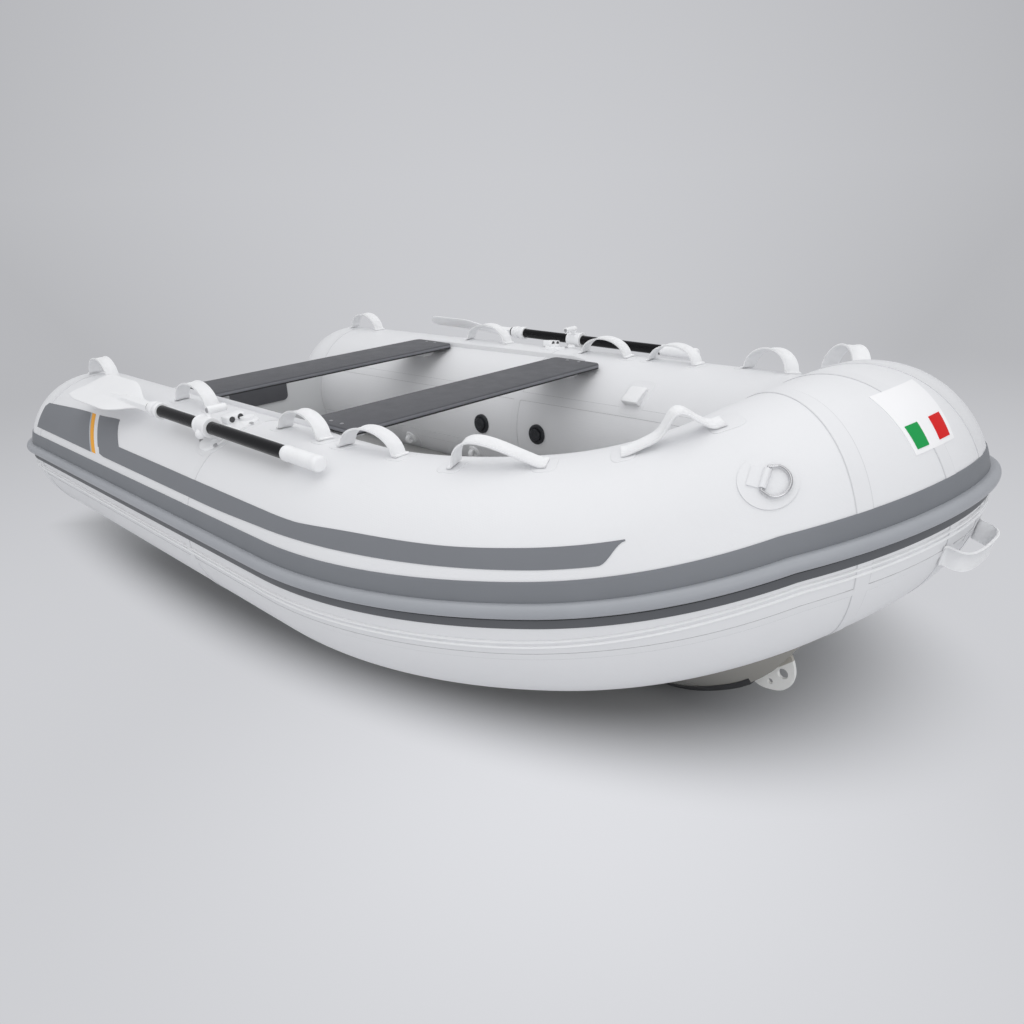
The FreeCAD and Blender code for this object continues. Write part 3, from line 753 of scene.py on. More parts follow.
def strake_stations(step=0.014):
    """Centre, outward, upward and share of the length, right round the boat."""
    rows = []
    for s in steps(-TUBE_R * math.radians(STRAKE_WRAP), 0.0, step)[:-1]:
        centre, forward, out, up = local(0.0)
        a = -s / TUBE_R
        rows.append((centre, out * math.cos(a) - forward * math.sin(a), up, 0.0))
    for s in steps(0.0, LENGTH, step):
        centre, forward, out, up = local(s)
        rows.append((centre, out, up, s / LENGTH))
    return rows + [(flip(c), flip(o), flip(u), k) for c, o, u, k in reversed(rows[:-1])]


def strake_piece(name, profile, node, material, slot, ends=(), drift=None):
    """Sweep of (angle, height) pairs along the strake, its ends drawn in by the given shares."""
    rings = []
    rows = strake_stations()
    for i, (centre, out, up, share) in enumerate(rows):
        k = min(i, len(rows) - 1 - i)
        squeeze = ends[k] if k < len(ends) else 1.0
        ring = []
        for deg, high in profile:
            d = BEAD_DEG + (deg - BEAD_DEG) * squeeze if ends else deg
            a = math.radians(d + (drift(share * LENGTH) if drift else STRAKE_RISE * share))
            off = high if high < 0.003 else 0.003 + (high - 0.003) * squeeze
            ring.append(centre + (out * math.cos(a) + up * math.sin(a)) * (TUBE_R + off))
        rings.append(ring)
    piece = ring_solid(name, rings, slot=slot, sharp=50.0)
    return use(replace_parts(piece, node) if node else piece, material)


class BOAT_OT_strake(bpy.types.Operator):
    """Rubbing strake: flat band and rounded bead, a black line under the bead painted as its shade, and the
    band's lower edge painted darker as the bead's shade.
    """

    bl_idname = "boat.strake"
    bl_label = "Rubbing strake"

    def execute(self, context):
        band = [(STRAKE_LOW, -0.001), (STRAKE_LOW, 0.0018), (STRAKE_LOW + 0.25, 0.0022)]
        band += [(STRAKE_LOW + 1 + i * 2.6, 0.0023) for i in range(8)]
        band += [(STRAKE_TOP - 0.25, 0.0022), (STRAKE_TOP, 0.0018), (STRAKE_TOP, -0.001)]
        strake_piece("strake_band_skin", band, "rub_strake_band", "strake", "strake_rubber")
        half = math.degrees(BEAD_W / 2 / TUBE_R)
        bead = [(BEAD_DEG - half, 0.002)]
        for i in range(17):
            a = math.pi - math.pi * i / 16
            lift = 0.004 + (BEAD_H - 0.0045) * math.sin(a) ** 0.8
            bead.append((BEAD_DEG + half * math.cos(a), lift))
        bead.append((BEAD_DEG + half, 0.002))
        tip = (0.35, 0.66, 0.84, 0.94)
        strake_piece("strake_bead_skin", bead, "rub_strake_bead", "bead", "strake_rubber", tip)
        foot = BEAD_DEG - half
        # Black line along the foot of the bead, painted as the shade of the gap under it.
        shade_line = [(foot - 1.2, 0.001), (foot - 1.1, 0.0030), (foot - 0.6, 0.0034), (foot + 0.3, 0.0034),
                  (foot + 0.5, 0.001)]
        strake_piece("strake_shade_line", shade_line, None, "shade_line", "strake_rubber")
        # The band's lower edge, painted darker as the bead's shade.
        shade_strip = [(STRAKE_LOW - 0.1, -0.0005), (STRAKE_LOW - 0.1, 0.0022), (STRAKE_LOW + 0.2, 0.0029),
                 (foot - 1.1, 0.0029), (foot - 1.1, 0.001)]
        strake_piece("strake_foot_shade", shade_strip, None, "shade_strip", "strake_rubber")
        return {"FINISHED"}


# Grab loops as the solids have them: station, length over the feet, height and angle
LOOPS = ((0.190, 0.205, 0.064, 90.0), (1.042, 0.235, 0.064, 89.0), (1.644, 0.215, 0.057, 92.0),
         (1.944, 0.225, 0.055, 92.0), (2.327, 0.232, 0.064, 84.0), (2.668, 0.240, 0.066, 84.0))
FOOT = 0.016
HANDLE_HALF, HANDLE_DEG, HANDLE_OUT, HANDLE_W = 0.054, -15.0, 0.046, 0.046


def webbing(name, path, width, node):
    """Strap through (point, across, outward) stations, with a raised rim along both edges."""
    z = sizes()
    w, r, thick, rim = width / 2, 0.0042, z.strap_thick, z.rim_height
    outline = [(-w, 0), (w, 0), (w, thick * 0.8), (w - r * 0.3, thick + rim),
               (w - r * 0.8, thick + rim * 0.8), (w - r * 1.3, thick)]
    outline += [(-x, y) for x, y in reversed(outline[2:])]
    rings, last = [], len(path) - 1
    place, first_across, first_out = path[0]
    k = 1.0 if first_across.cross(path[1][0] - place).dot(first_out) > 0 else -1.0
    for i, (p, across, outward) in enumerate(path):
        run = path[min(i + 1, last)][0] - path[max(i - 1, 0)][0]
        lift = across.cross(run).normalized()
        rings.append([p + across * x + lift * k * y for x, y in outline])
    piece = ring_solid(name, rings, sharp=60.0, slot="webbing")
    if k > 0:
        piece.data.flip_normals()
    return use(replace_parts(piece, node), "webbing")


def eased(values, passes=3):
    """Rounds the corners of a row of (run, rise) places."""
    for _ in range(passes):
        inner = [tuple((a + 2 * b + c) / 4 for a, b, c in zip(*three))
                 for three in zip(values, values[1:], values[2:])]
        values = [values[0]] + inner + [values[-1]]
    return values


def loop_places(length, height, shape="arch"):
    """Places (run, rise) along a loop: an even arch, or straps that lie over to one end."""
    count, reach = 44, length / 2 - FOOT
    arch = []
    for i in range(count + 1):
        a = math.pi * i / count
        u = 0.5 - 0.5 * math.cos(a)
        rise = math.sin(a)
        if shape == "aft":
            rise = math.sin(math.pi * u ** 0.52) * 0.92
        elif shape == "fore":
            rise = 0.20 * math.sin(math.pi * u) + 0.72 * math.exp(-((u - 0.68) / 0.19) ** 2) * (1 - u ** 8)
        arch.append(((2 * u - 1) * reach, height * rise))
    foot = [(-length / 2, 0.0), (-length / 2 + FOOT / 3, 0.0), (-length / 2 + FOOT * 2 / 3, 0.0)]
    return eased(foot + arch + [(-a, b) for a, b in reversed(foot)])


def skin_oval(name, s, deg, long, wide, thick, side, power=4.0):
    """Glued patch on the tube: a rounded sheet with a thin edge."""
    rings, count = [], 56
    for share, high in ((1.0, -0.001), (1.0, thick * 0.6), (0.985, thick), (0.93, thick * 1.08),
                        (0.5, thick * 1.1), (0.02, thick * 1.1)):
        ring = []
        for a in turns(count):
            k = (abs(math.cos(a)) ** power + abs(math.sin(a)) ** power) ** (-1 / power) * share
            x, y = long * k * math.cos(a), wide * k * math.sin(a)
            ring.append(skin(s + x, deg + math.degrees(y / TUBE_R), high, side))
        rings.append(ring if side < 0 else ring[::-1])
    low = [p.lerp(rings[0][(j + count // 2) % count], 0.49) for j, p in enumerate(rings[0])]
    return ring_solid(name, [low] + rings, slot="collar_fabric", sharp=50.0)


class BOAT_OT_loops(bpy.types.Operator):
    """Webbing grab loops with their glued patches, and the carry handle at the bow."""

    bl_idname = "boat.loops"
    bl_label = "Loops and handle"

    def execute(self, context):
        wide = sizes().strap_width
        for side_name, side in SIDES:
            for number, (x, length, height, deg) in enumerate(LOOPS, 1):
                middle = max(solve(x), length / 2)
                path = []
                shape = {5: "aft", 6: "fore"}.get(number, "arch") if side < 0 else "arch"
                for run, rise in loop_places(length, height, shape):
                    point, normal, across = skin_frame(middle + run, deg, side)[:3]
                    path.append((point + normal * (rise + 0.0018), across, normal))
                name = "%s_grab_loop_%d" % (side_name, number)
                webbing(name + "_webbing", path, wide, name)
                for end, k in (("aft", -1), ("fore", 1)):
                    place = middle + k * (length / 2 - 0.004)
                    if place > 0.03:
                        patch = "%s_%s_patch" % (name, end)
                        use(skin_oval(patch, place, deg, 0.030, wide * 0.5 + 0.012, 0.0012, side), "tape")
        half = []
        for i in range(25):
            a = math.pi / 2 * i / 24
            half.append((-HANDLE_HALF * math.cos(a) ** 0.5, HANDLE_OUT * math.sin(a) ** 0.5))
        places = [(-HANDLE_HALF - FOOT / 2, 0.0), (-HANDLE_HALF - FOOT / 4, 0.0)] + half
        places = eased(places + [(-a, b) for a, b in reversed(places[:-1])], 2)
        path = []
        for run, rise in places:
            point, normal, across = skin_frame(LENGTH + run, HANDLE_DEG)[:3]
            if run > 0:
                point, normal, across = [flip(v) for v in skin_frame(LENGTH - run, HANDLE_DEG)[:3]]
            path.append((point + normal * (rise + 0.0006), across, normal))
        webbing("bow_handle_webbing", path, HANDLE_W, "bow_handle")
        return {"FINISHED"}


def lathed(name, profile, place, axis, segments=48, body="boat", slot="white_plastic"):
    """Turned piece: (distance along the axis, radius) pairs round an axis through place."""
    axis = axis.normalized()
    side = (UP if abs(axis.z) < 0.9 else FORWARD).cross(axis).normalized()
    other = axis.cross(side)
    rings = [[place + axis * h + (side * math.cos(a) + other * math.sin(a)) * max(r, 0.0002)
              for a in turns(segments)] for h, r in profile]
    return ring_solid(name, [ring[::-1] for ring in rings], body=body, slot=slot, sharp=32.0)


def sleeve(name, profile, place, body="boat", axis=FORWARD, first=Vector((0, 1, 0))):
    """Hollow turned piece: a closed (distance, radius) outline round the axis, from its first direction."""
    other = axis.cross(first)
    rings = []
    for a in turns(48):
        out = first * math.cos(a) + other * math.sin(a)
        rings.append([place + axis * h + out * r for h, r in reversed(profile)])
    return ring_solid(name, rings, joined=True, body=body, slot="white_plastic", sharp=32.0)


def merged(name, pieces):
    """One object out of several."""
    with bpy.context.temp_override(active_object=pieces[0], selected_editable_objects=pieces,
                                   selected_objects=pieces, object=pieces[0]):
        bpy.ops.object.join()
    pieces[0].name = name
    return pieces[0]


SEATS = (("aft_seat", 0.829, 0.251), ("fore_seat", 1.598, 0.258))
SEAT_W, SEAT_HALF, SEAT_T, SEAT_R = 0.210, 0.520, 0.018, 0.022
# Layers that show at a board's rim: name, height, how far out, thickness, rounding and material. The pale
# band is a painted highlight on the rounded edge, and the black one under it is painted shade.
RIM_LAYERS = (("edge", 0.0055, 0.0009, 0.0085, 0.0015, "edge"),
              ("shade_lip", 0.0005, 0.0007, 0.0045, 0.0012, "shade_line"))
SCREW = ((-0.002, 0.0058), (0.0006, 0.0058), (0.0016, 0.004), (0.0019, 0.001))
RAIL_ENDS = (0.722, 1.610)
# Clamp pads of the transom: name, station, lower edge, and the way that they face
PADS = (("transom_pad_inner", 0.214, 0.012, 1), ("transom_pad_outer", 0.172, -0.070, -1))
PAD_TOP, PAD_HALF, PAD_T = 0.138, 0.165, 0.008


def slab(name, centre, half_x, half_y, thick, corner, edge, up=UP, run=FORWARD, slot="grey_board"):
    """Flat board with rounded corners and rounded rims, its underside at the centre's height."""
    across = up.cross(run)
    rings = []
    for high, inset in ((0.0, edge), (edge * 0.3, edge * 0.3), (edge, 0.0), (thick - edge, 0.0),
                        (thick - edge * 0.3, edge * 0.3), (thick, edge)):
        ring = []
        for turn in turns(36):
            a = turn + math.pi / 36
            cx = math.copysign(half_x - corner, math.cos(a))
            cy = math.copysign(half_y - corner, math.sin(a))
            r = corner - inset
            ring.append(centre + run * (cx + r * math.cos(a)) + across * (cy + r * math.sin(a)) + up * high)
        rings.append(ring[::-1])
    return ring_solid(name, rings, slot=slot, sharp=50.0)


class BOAT_OT_seats(bpy.types.Operator):
    """Bench boards with screws, a pale band painted along each edge as a highlight and a black line under it
    painted as shade, the fabric rails, and the transom's clamp pads.
    """

    bl_idname = "boat.seats"
    bl_label = "Seats and pads"

    def execute(self, context):
        for name, x, z in SEATS:
            centre = Vector((x, 0, z)) + ORIGIN
            board = slab(name + "_board", centre, SEAT_W / 2, SEAT_HALF, SEAT_T, SEAT_R, 0.003)
            use(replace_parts(board, name), "board")
            # Rim bands: a pale one painted as a highlight, and a black one under it painted as shade.
            for layer, rise, grow, thick, edge, material in RIM_LAYERS:
                use(slab("%s_%s" % (name, layer), centre + UP * rise, SEAT_W / 2 + grow, SEAT_HALF + grow,
                         thick, SEAT_R, edge), material)
            for side_name, side in SIDES:
                for k in (-1, 1):
                    place = centre + Vector((0.026 * k, side * 0.495, SEAT_T))
                    screw = "%s_%s_screw_%d" % (side_name, name, k + 1)
                    use(lathed(screw, SCREW, place, UP, 20, slot="stainless"), "screw")
        for side_name, side in SIDES:
            self.rail(side_name, side)
        for name, x, low, way in PADS:
            centre = Vector((x, 0, (PAD_TOP + low) / 2)) + ORIGIN
            pad = slab(name + "_board", centre, PAD_HALF, (PAD_TOP - low) / 2, PAD_T, SEAT_R, 0.0025,
                       FORWARD * way, Vector((0, 1, 0)))
            use(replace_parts(pad, name), "board")
        return {"FINISHED"}

    def rail(self, side_name, side):
        """Low fabric fin along the tube, between the aft seat and the fore one."""
        aft, fore = (solve(x) for x in RAIL_ENDS)
        rings = []
        for s in steps(aft, fore, 0.025):
            high = 0.006 + 0.009 * smooth_step(0.0, 0.05, min(s - aft, fore - s))
            p, out = skin(s, 109.0, 0.0, side), local(s, side)[2]
            ring = [p + out * x + UP * z for x, z in
                    ((-0.0019, -0.010), (0.0019, -0.010), (0.0019, high), (0.0008, high + 0.0012),
                     (-0.0008, high + 0.0012), (-0.0019, high))]
            rings.append(ring if side < 0 else ring[::-1])
        fin = ring_solid(side_name + "_seat_rail_fin", rings, slot="collar_fabric", sharp=50.0)
        use(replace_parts(fin, side_name + "_seat_rail"), "tape")


VALVES, VALVE_DEG, VALVE_R = (1.246, 1.525), 178.0, 0.036
TAB_X, TAB_DEG = 1.930, 137.0
EYES, EYE_DEG = (0.788, 1.167), -153.0

# Hull stations as the solids have them, from the stern datum: keel, half width and height of the chine
HULL = ((0.214, -0.454, 0.450, -0.305), (0.700, -0.454, 0.468, -0.305), (1.300, -0.454, 0.476, -0.303),
        (1.900, -0.454, 0.470, -0.290), (2.200, -0.452, 0.420, -0.270), (2.440, -0.436, 0.310, -0.232),
        (2.600, -0.372, 0.205, -0.180), (2.700, -0.290, 0.120, -0.125), (2.770, -0.190, 0.060, -0.070))
KEEL_HALF, DECK_UNDER = 0.042, -0.170
GUARD_AFT, GUARD_FORE, GUARD_LOW = 1.30, 2.66, -0.4595


def hull_station(x):
    """Keel, half width and height of the chine at a station: a smooth curve through the table."""
    k = max(i for i in range(len(HULL) - 1) if HULL[i][0] <= x)
    a, b = HULL[k], HULL[k + 1]
    before, after = HULL[max(k - 1, 0)], HULL[min(k + 2, len(HULL) - 1)]
    span = b[0] - a[0]
    t = (x - a[0]) / span
    values = []
    for i in (1, 2, 3):
        leave = (b[i] - before[i]) / (b[0] - before[0]) * span
        reach = (after[i] - a[i]) / (after[0] - a[0]) * span
        values.append(a[i] * (2 * t ** 3 - 3 * t ** 2 + 1) + leave * (t ** 3 - 2 * t ** 2 + t)
                      + b[i] * (3 * t ** 2 - 2 * t ** 3) + reach * (t ** 3 - t ** 2))
    return values


def hull_side(x):
    """Half of the hull's section: keel corner, hollow of the side and chine, as (across, height)."""
    keel_z, chine_y, chine_z = hull_station(x)
    keel = min(KEEL_HALF, chine_y * 0.6)
    return (keel, keel_z), ((keel + chine_y) / 2, (keel_z + chine_z) / 2 - 0.008), (chine_y, chine_z)


def between(a, b, share):
    return a[0] + (b[0] - a[0]) * share, a[1] + (b[1] - a[1]) * share


def below_deck(keel, mid, chine):
    """The same corners where the deck cuts the side off before the chine."""
    limit = DECK_UNDER - 0.013
    if chine[1] <= limit:
        return keel, mid, chine
    if mid[1] < limit - 0.01:
        return keel, mid, between(mid, chine, (limit - mid[1]) / (chine[1] - mid[1]))
    cut = between(keel, mid, max(limit - keel[1], 0.004) / (mid[1] - keel[1]))
    return keel, between(keel, cut, 0.5), cut


def mirrored_ring(x, half):
    """A ring across the boat from its starboard half, given from the keel up."""
    line = [(-y, z) for y, z in reversed(half)] + list(half)
    return [Vector((x, y, z)) + ORIGIN for y, z in line]


class BOAT_OT_fittings(bpy.types.Operator):
    """Hull, keel guard and towing plate, valves, wedge tabs and lifting eyes with their patches."""

    bl_idname = "boat.fittings"
    bl_label = "Hull and fittings"

    def execute(self, context):
        self.hull()
        self.tow_plate()
        for side_name, side in SIDES:
            self.valves(side_name, side)
            self.tab(side_name, side)
            self.eyes(side_name, side)
        return {"FINISHED"}

    def hull(self):
        """Smooth laminate of the hull, and the dark guard wrapped round its keel."""
        rings, guard = [], []
        for x in steps(0.2145, 2.7695, 0.03):
            keel, mid, chine = below_deck(*hull_side(x))
            half = [keel] + [between(keel, mid, v) for v in (0.3, 0.6, 0.88)] + [mid]
            half += [between(mid, chine, v) for v in (0.12, 0.5, 0.9, 0.97)]
            half += [(chine[0], chine[1] + 0.006), (chine[0], DECK_UNDER)]
            rings.append(mirrored_ring(x, half))
            if GUARD_AFT < x < GUARD_FORE:
                top = between(keel, mid, 0.21)
                low = max(keel[1] - 0.005, GUARD_LOW)
                guard.append(mirrored_ring(x, [(keel[0] + 0.001, low), (top[0] + 0.002, top[1] - 0.0028),
                                               (top[0] + 0.001, top[1] + 0.001)]))
        laminate = ring_solid("hull_skin", rings, slot="hull_laminate", sharp=28.0)
        use(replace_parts(laminate, "hull_shell"), "hull")
        use(ring_solid("stem_guard", guard, slot="keel_guard", sharp=40.0), "keel")

    def tow_plate(self):
        """Plate under the stem with rounded corners, cut from a flat curve with its two holes."""
        outline = [(2.628, -0.350), (2.660, -0.364), (2.712, -0.356), (2.741, -0.330), (2.750, -0.290),
                   (2.733, -0.237), (2.690, -0.240), (2.622, -0.320)]
        for _ in range(3):
            pairs = zip(outline, outline[1:] + outline[:1])
            outline = [between(a, b, k) for a, b in pairs for k in (0.22, 0.78)]
        shapes = [outline]
        for x, z, r in ((2.716, -0.303, 0.0140), (2.683, -0.337, 0.0075)):
            shapes.append([(x + r * math.cos(a), z + r * math.sin(a)) for a in turns(32)])
        curve = bpy.data.curves.new("tow_plate_shape", "CURVE")
        curve.dimensions, curve.fill_mode = "2D", "BOTH"
        curve.extrude, curve.bevel_depth, curve.offset = 0.0042, 0.0007, -0.0007
        for points in shapes:
            line = curve.splines.new("POLY")
            line.points.add(len(points) - 1)
            line.use_cyclic_u = True
            for point, (x, z) in zip(line.points, points):
                point.co = (x + ORIGIN.x, z + ORIGIN.z, 0.0, 1.0)
        drawn = bpy.data.objects.new("tow_plate_shape", curve)
        mesh = bpy.data.meshes.new_from_object(drawn)
        bpy.data.objects.remove(drawn)
        mesh.transform(Matrix.Rotation(math.pi / 2, 4, "X"))
        mesh.shade_smooth()
        mesh.set_sharp_from_angle(angle=math.radians(30))
        plate = bpy.data.objects.new("tow_plate_rounded", mesh)
        bpy.context.scene.collection.objects.link(plate)
        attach(plate, "boat")
        use(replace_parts(plate, "stem_tow_plate"), "plate")

    def valves(self, side_name, side):
        """Valve caps, with ten grips round each knob."""
        r, pieces = VALVE_R, []
        cap = ((-0.006, r), (0.004, r), (0.0062, r - 0.0015), (0.0072, r - 0.004), (0.0074, r * 0.72),
               (0.0035, r * 0.70), (0.0035, r * 0.64), (0.0125, r * 0.615), (0.0146, r * 0.56),
               (0.0148, r * 0.30), (0.0132, r * 0.26), (0.0132, 0.0004))
        grip = ((0.0036, 0.0017), (0.0112, 0.0017), (0.0122, 0.0010))
        for x in VALVES:
            point, normal, along = skin_frame(solve(x), VALVE_DEG, side)[:3]
            pieces.append(lathed("valve", cap, point, normal, slot="valve_plastic"))
            for a in turns(10):
                out = along * math.cos(a) + along.cross(normal) * math.sin(a)
                place = point + out * r * 0.622
                pieces.append(lathed("grip", grip, place, normal, 10, slot="valve_plastic"))
        use(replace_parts(merged(side_name + "_valve_caps", pieces), side_name + "_valves"), "valve")

    def tab(self, side_name, side):
        """Wedge tab inside the tube on its patch: a rounded pad, thicker at its lower edge."""
        point, normal, across, forward = skin_frame(solve(TAB_X), TAB_DEG, side)
        outline = ((-0.034, -0.012), (0.034, -0.012), (0.035, 0.019), (0.032, 0.022), (0.020, 0.0215),
                   (-0.026, 0.010), (-0.033, 0.006))
        half = ((-0.034, 0.90), (-0.0325, 0.97), (-0.029, 1.0))
        rings = []
        for x, grow in (*half, *((-x, grow) for x, grow in reversed(half))):
            ring = [point + forward * x + across * (y * grow) + normal * (z * (grow if z > 0 else 1.0))
                    for y, z in outline]
            rings.append(ring if side > 0 else ring[::-1])
        pad = ring_solid(side_name + "_tab_pad", rings, slot="collar_fabric", sharp=30.0)
        use(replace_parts(pad, side_name + "_bag_tab"), "webbing")
        patch = side_name + "_tab_patch"
        use(skin_oval(patch, solve(TAB_X), TAB_DEG, 0.062, 0.068, 0.0011, side, 6.0), "tape")

    def eyes(self, side_name, side):
        """Lifting eyes on their patches: a round foot and a hollow barrel on it."""
        pieces = []
        foot = ((-0.004, 0.027), (0.0045, 0.027), (0.0065, 0.0255), (0.0080, 0.019), (0.0082, 0.0005))
        barrel = ((0.0, 0.0088), (0.0, 0.0155), (0.0016, 0.0172), (0.0164, 0.0172), (0.018, 0.0155),
                  (0.018, 0.0088))
        for number, x in enumerate(EYES):
            point, normal, across, forward = skin_frame(solve(x), EYE_DEG, side)
            pieces.append(lathed("foot", foot, point, normal))
            middle = point + normal * 0.0145 - forward * 0.009
            pieces.append(sleeve("barrel", barrel, middle, axis=forward, first=normal))
            patch = "%s_eye_patch_%d" % (side_name, number)
            use(skin_oval(patch, solve(x), EYE_DEG, 0.052, 0.052, 0.0011, side, 2.0), "tape")
        mouldings = merged(side_name + "_eye_mouldings", pieces)
        use(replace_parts(mouldings, side_name + "_lifting_eyes"), "plastic")


# Oars: the rowlock's middle, how the blade's face leans, and stations from the stern datum
LOCK_X = 1.380
LOCK = Vector((LOCK_X, 0.7652895, 0.2893686)) + ORIGIN
OAR_DEG, SHAFT_R = 63.2, 0.0175
OAR_TIP, BLADE_END, BLADE_COLLAR, GRIP_X = 0.500, 1.034, (1.042, 1.108), (1.782, 1.930)
# Outlines of turned parts, as (distance, radius)
RING_RIM = ((-0.004, SHAFT_R + 0.0008), (-0.004, 0.0268), (-0.0030, 0.0284), (0.0030, 0.0284),
            (0.004, 0.0268), (0.004, SHAFT_R + 0.0008))
BOLT = ((-0.001, 0.0068), (0.0, 0.0068), (0.0548, 0.0068), (0.0568, 0.0066), (0.0580, 0.0045))
BASE_SCREW = ((0.004, 0.0065), (0.0066, 0.0065), (0.0076, 0.0050), (0.0074, 0.0022), (0.0068, 0.0018))
SOCKET = ((0.0, 0.0110), (0.0016, 0.0108), (0.0022, 0.0102), (0.0022, 0.0092), (0.0006, 0.0086),
          (0.0004, 0.0005))
# Dark disc set inside a socket: painted shade.
SOCKET_SHADE_DISC = ((0.0003, 0.0084), (0.0008, 0.0084), (0.0009, 0.0005))


def blade_edges(x):
    """Outboard and inboard edge of the blade at a distance from its tip, whose end is cut aslant."""
    neck = 0.070 * (1.0 - 0.73 * smooth_step(0.30, 0.475, x))
    slant = -0.052 + 0.122 * smooth_step(-0.05, 0.118, x) - 0.012 * (1 - smooth_step(0.015, 0.035, x))
    return -neck * (0.80 + 0.20 * smooth_step(-0.02, 0.10, x)), min(neck, slant)


class BOAT_OT_oars(bpy.types.Operator):
    """Blades, their collars, the grips and the small parts of the rowlocks."""

    bl_idname = "boat.oars"
    bl_label = "Oars and rowlocks"

    def execute(self, context):
        a = math.radians(OAR_DEG)
        normal, across = Vector((0, math.cos(a), math.sin(a))), Vector((0, -math.sin(a), math.cos(a)))
        for side_name, side in SIDES:
            def at(x, y=0.0, n=0.0):
                return on_side(Vector((x + ORIGIN.x, LOCK.y, LOCK.z)) + across * y + normal * n, side)
            body = side_name + "_oar"
            self.blade(side_name, side, at, body)
            self.sleeves(side_name, at, body)
            self.rowlock(side_name, side, at, body)
        return {"FINISHED"}

    def blade(self, side_name, side, at, body):
        """Blade with a thin rim and raised sides, and the shaft's spine running out towards its tip."""
        rings = []
        for x in steps(OAR_TIP + 0.016, BLADE_END, 0.009):
            d = x - OAR_TIP
            outer, inner = blade_edges(d)
            half, middle = (inner - outer) / 2, (inner + outer) / 2
            spine = (SHAFT_R - 0.002) * smooth_step(0.03, 0.50, d) ** 0.8
            ring = []
            for b in turns(72):
                y = middle + half * math.copysign(abs(math.cos(b)) ** 0.8, math.cos(b))
                rim = 0.0034 * abs(math.sin(b)) ** 0.4
                ridge = min(spine * 0.9, max(spine * 1.3 - abs(y), 0.0) * 1.3)
                cup = 0.12 * abs(y) * (1 - smooth_step(0.30, 0.44, d))
                thick = max(rim, ridge * abs(math.sin(b)) ** 0.3)
                ring.append(at(x, y, cup + math.copysign(thick, math.sin(b))))
            rings.append(ring if side < 0 else ring[::-1])
        blade = ring_solid(side_name + "_blade", rings, body=body, slot="white_plastic", sharp=26.0)
        use(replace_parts(blade, side_name + "_oar_blade"), "plastic")

    def sleeves(self, side_name, at, body):
        """Stepped collar of the blade, and the grip with its nine grooves and rounded end."""
        x0, x1 = BLADE_COLLAR
        span, r = x1 - x0, SHAFT_R + 0.0004
        outline = ((0.0, r), (0.0, 0.0200), (0.002, 0.0212), (0.006, 0.0212), (0.008, 0.0192),
                   (0.014, 0.0190), (0.016, 0.0232), (0.018, 0.0240), (0.027, 0.0240), (0.029, 0.0228),
                   (0.030, 0.0196), (span - 0.024, 0.0196), (span - 0.022, 0.0236), (span - 0.020, 0.0248),
                   (span - 0.003, 0.0248), (span, 0.0232), (span, r))
        collar = sleeve(side_name + "_collar", outline, at(x0), body)
        use(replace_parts(collar, side_name + "_oar_collar"), "plastic")
        x0, x1 = GRIP_X
        span, round_end = x1 - x0, 0.009
        outline = [(0.0, 0.004), (0.0, 0.0192), (0.002, 0.0203), (0.014, 0.0204), (0.016, 0.0196)]
        for k in range(9):
            h = 0.026 + k * 0.0115
            outline += [(h, 0.0197), (h + 0.0022, 0.0189), (h + 0.0050, 0.0196)]
        outline += [(span - 0.013, 0.0203), (span - round_end, 0.0203)]
        for q in (math.radians(v) for v in (20, 40, 60, 75, 90)):
            outline.append((span - round_end + round_end * math.sin(q), 0.0113 + round_end * math.cos(q)))
        grip = lathed(side_name + "_grip", outline + [(span, 0.0005)], at(x0), FORWARD, 48, body)
        use(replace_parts(grip, side_name + "_oar_grip"), "plastic")

    def rowlock(self, side_name, side, at, body):
        """Rims of the ring, the clamp's bolt, and the base's screws, patch and housing of two sockets, each
        with a dark disc painted as the shade inside it.
        """
        for k in (-1, 1):
            rim = "%s_ring_rim_%d" % (side_name, k + 1)
            use(sleeve(rim, RING_RIM, at(LOCK_X + 0.0275 * k), body), "plastic")
        hinge = on_side(LOCK + Vector((0, -0.0075, 0.042)), side)
        inward = Vector((0, -side, 0))
        use(lathed(side_name + "_clamp_bolt", BOLT, hinge, inward, 24, body, "stainless"), "screw")
        for number, (x, deg) in enumerate(((1.338, 58.5), (1.422, 58.5), (1.332, 84.0), (1.428, 84.0))):
            point, normal = skin_frame(solve(x), deg, side)[:2]
            name = "%s_base_screw_%d" % (side_name, number)
            use(lathed(name, BASE_SCREW, point, normal, 24, slot="stainless"), "screw")
        patch = side_name + "_lock_patch"
        use(skin_oval(patch, solve(LOCK_X), 73.0, 0.076, 0.106, 0.0012, side, 2.4), "tape")
        point, normal, across, forward = skin_frame(solve(1.346), 81.8, side)
        housing = slab(side_name + "_lock_housing", point + normal * 0.003, 0.019, 0.030, 0.0215, 0.007,
                       0.003, normal, forward, "white_plastic")
        use(housing, "plastic")
        for k in (-1, 1):
            mouth = point + normal * 0.0145 + across * (0.0130 * k) + forward * 0.0188
            use(lathed("%s_socket_%d" % (side_name, k + 1), SOCKET, mouth, forward, 32), "plastic")
            # Dark disc inside the socket's mouth: painted shade.
            pit = "%s_socket_pit_%d" % (side_name, k + 1)
            use(lathed(pit, SOCKET_SHADE_DISC, mouth, forward, 32, slot="valve_plastic"), "dark")


# Camera from the stern datum, aimed by (yaw, pitch); the middle of the light pool painted on the floor;
# floor's half size
CAMERA_PLACE, CAMERA_AIM, CAMERA_ROLL = Vector((3.610, -1.797, 0.891)), (135.73, -21.03), -2.58
POOL_X, POOL_Y = 1.0, -0.55
FLOOR_REACH = 300.0


def shaded_far_tone(turn):
    """Grey of the backdrop, painted a little darker to the sides of the way the studio faces, as shade."""
    return (turn * turn).least(0.27) * -0.46 + 0.600


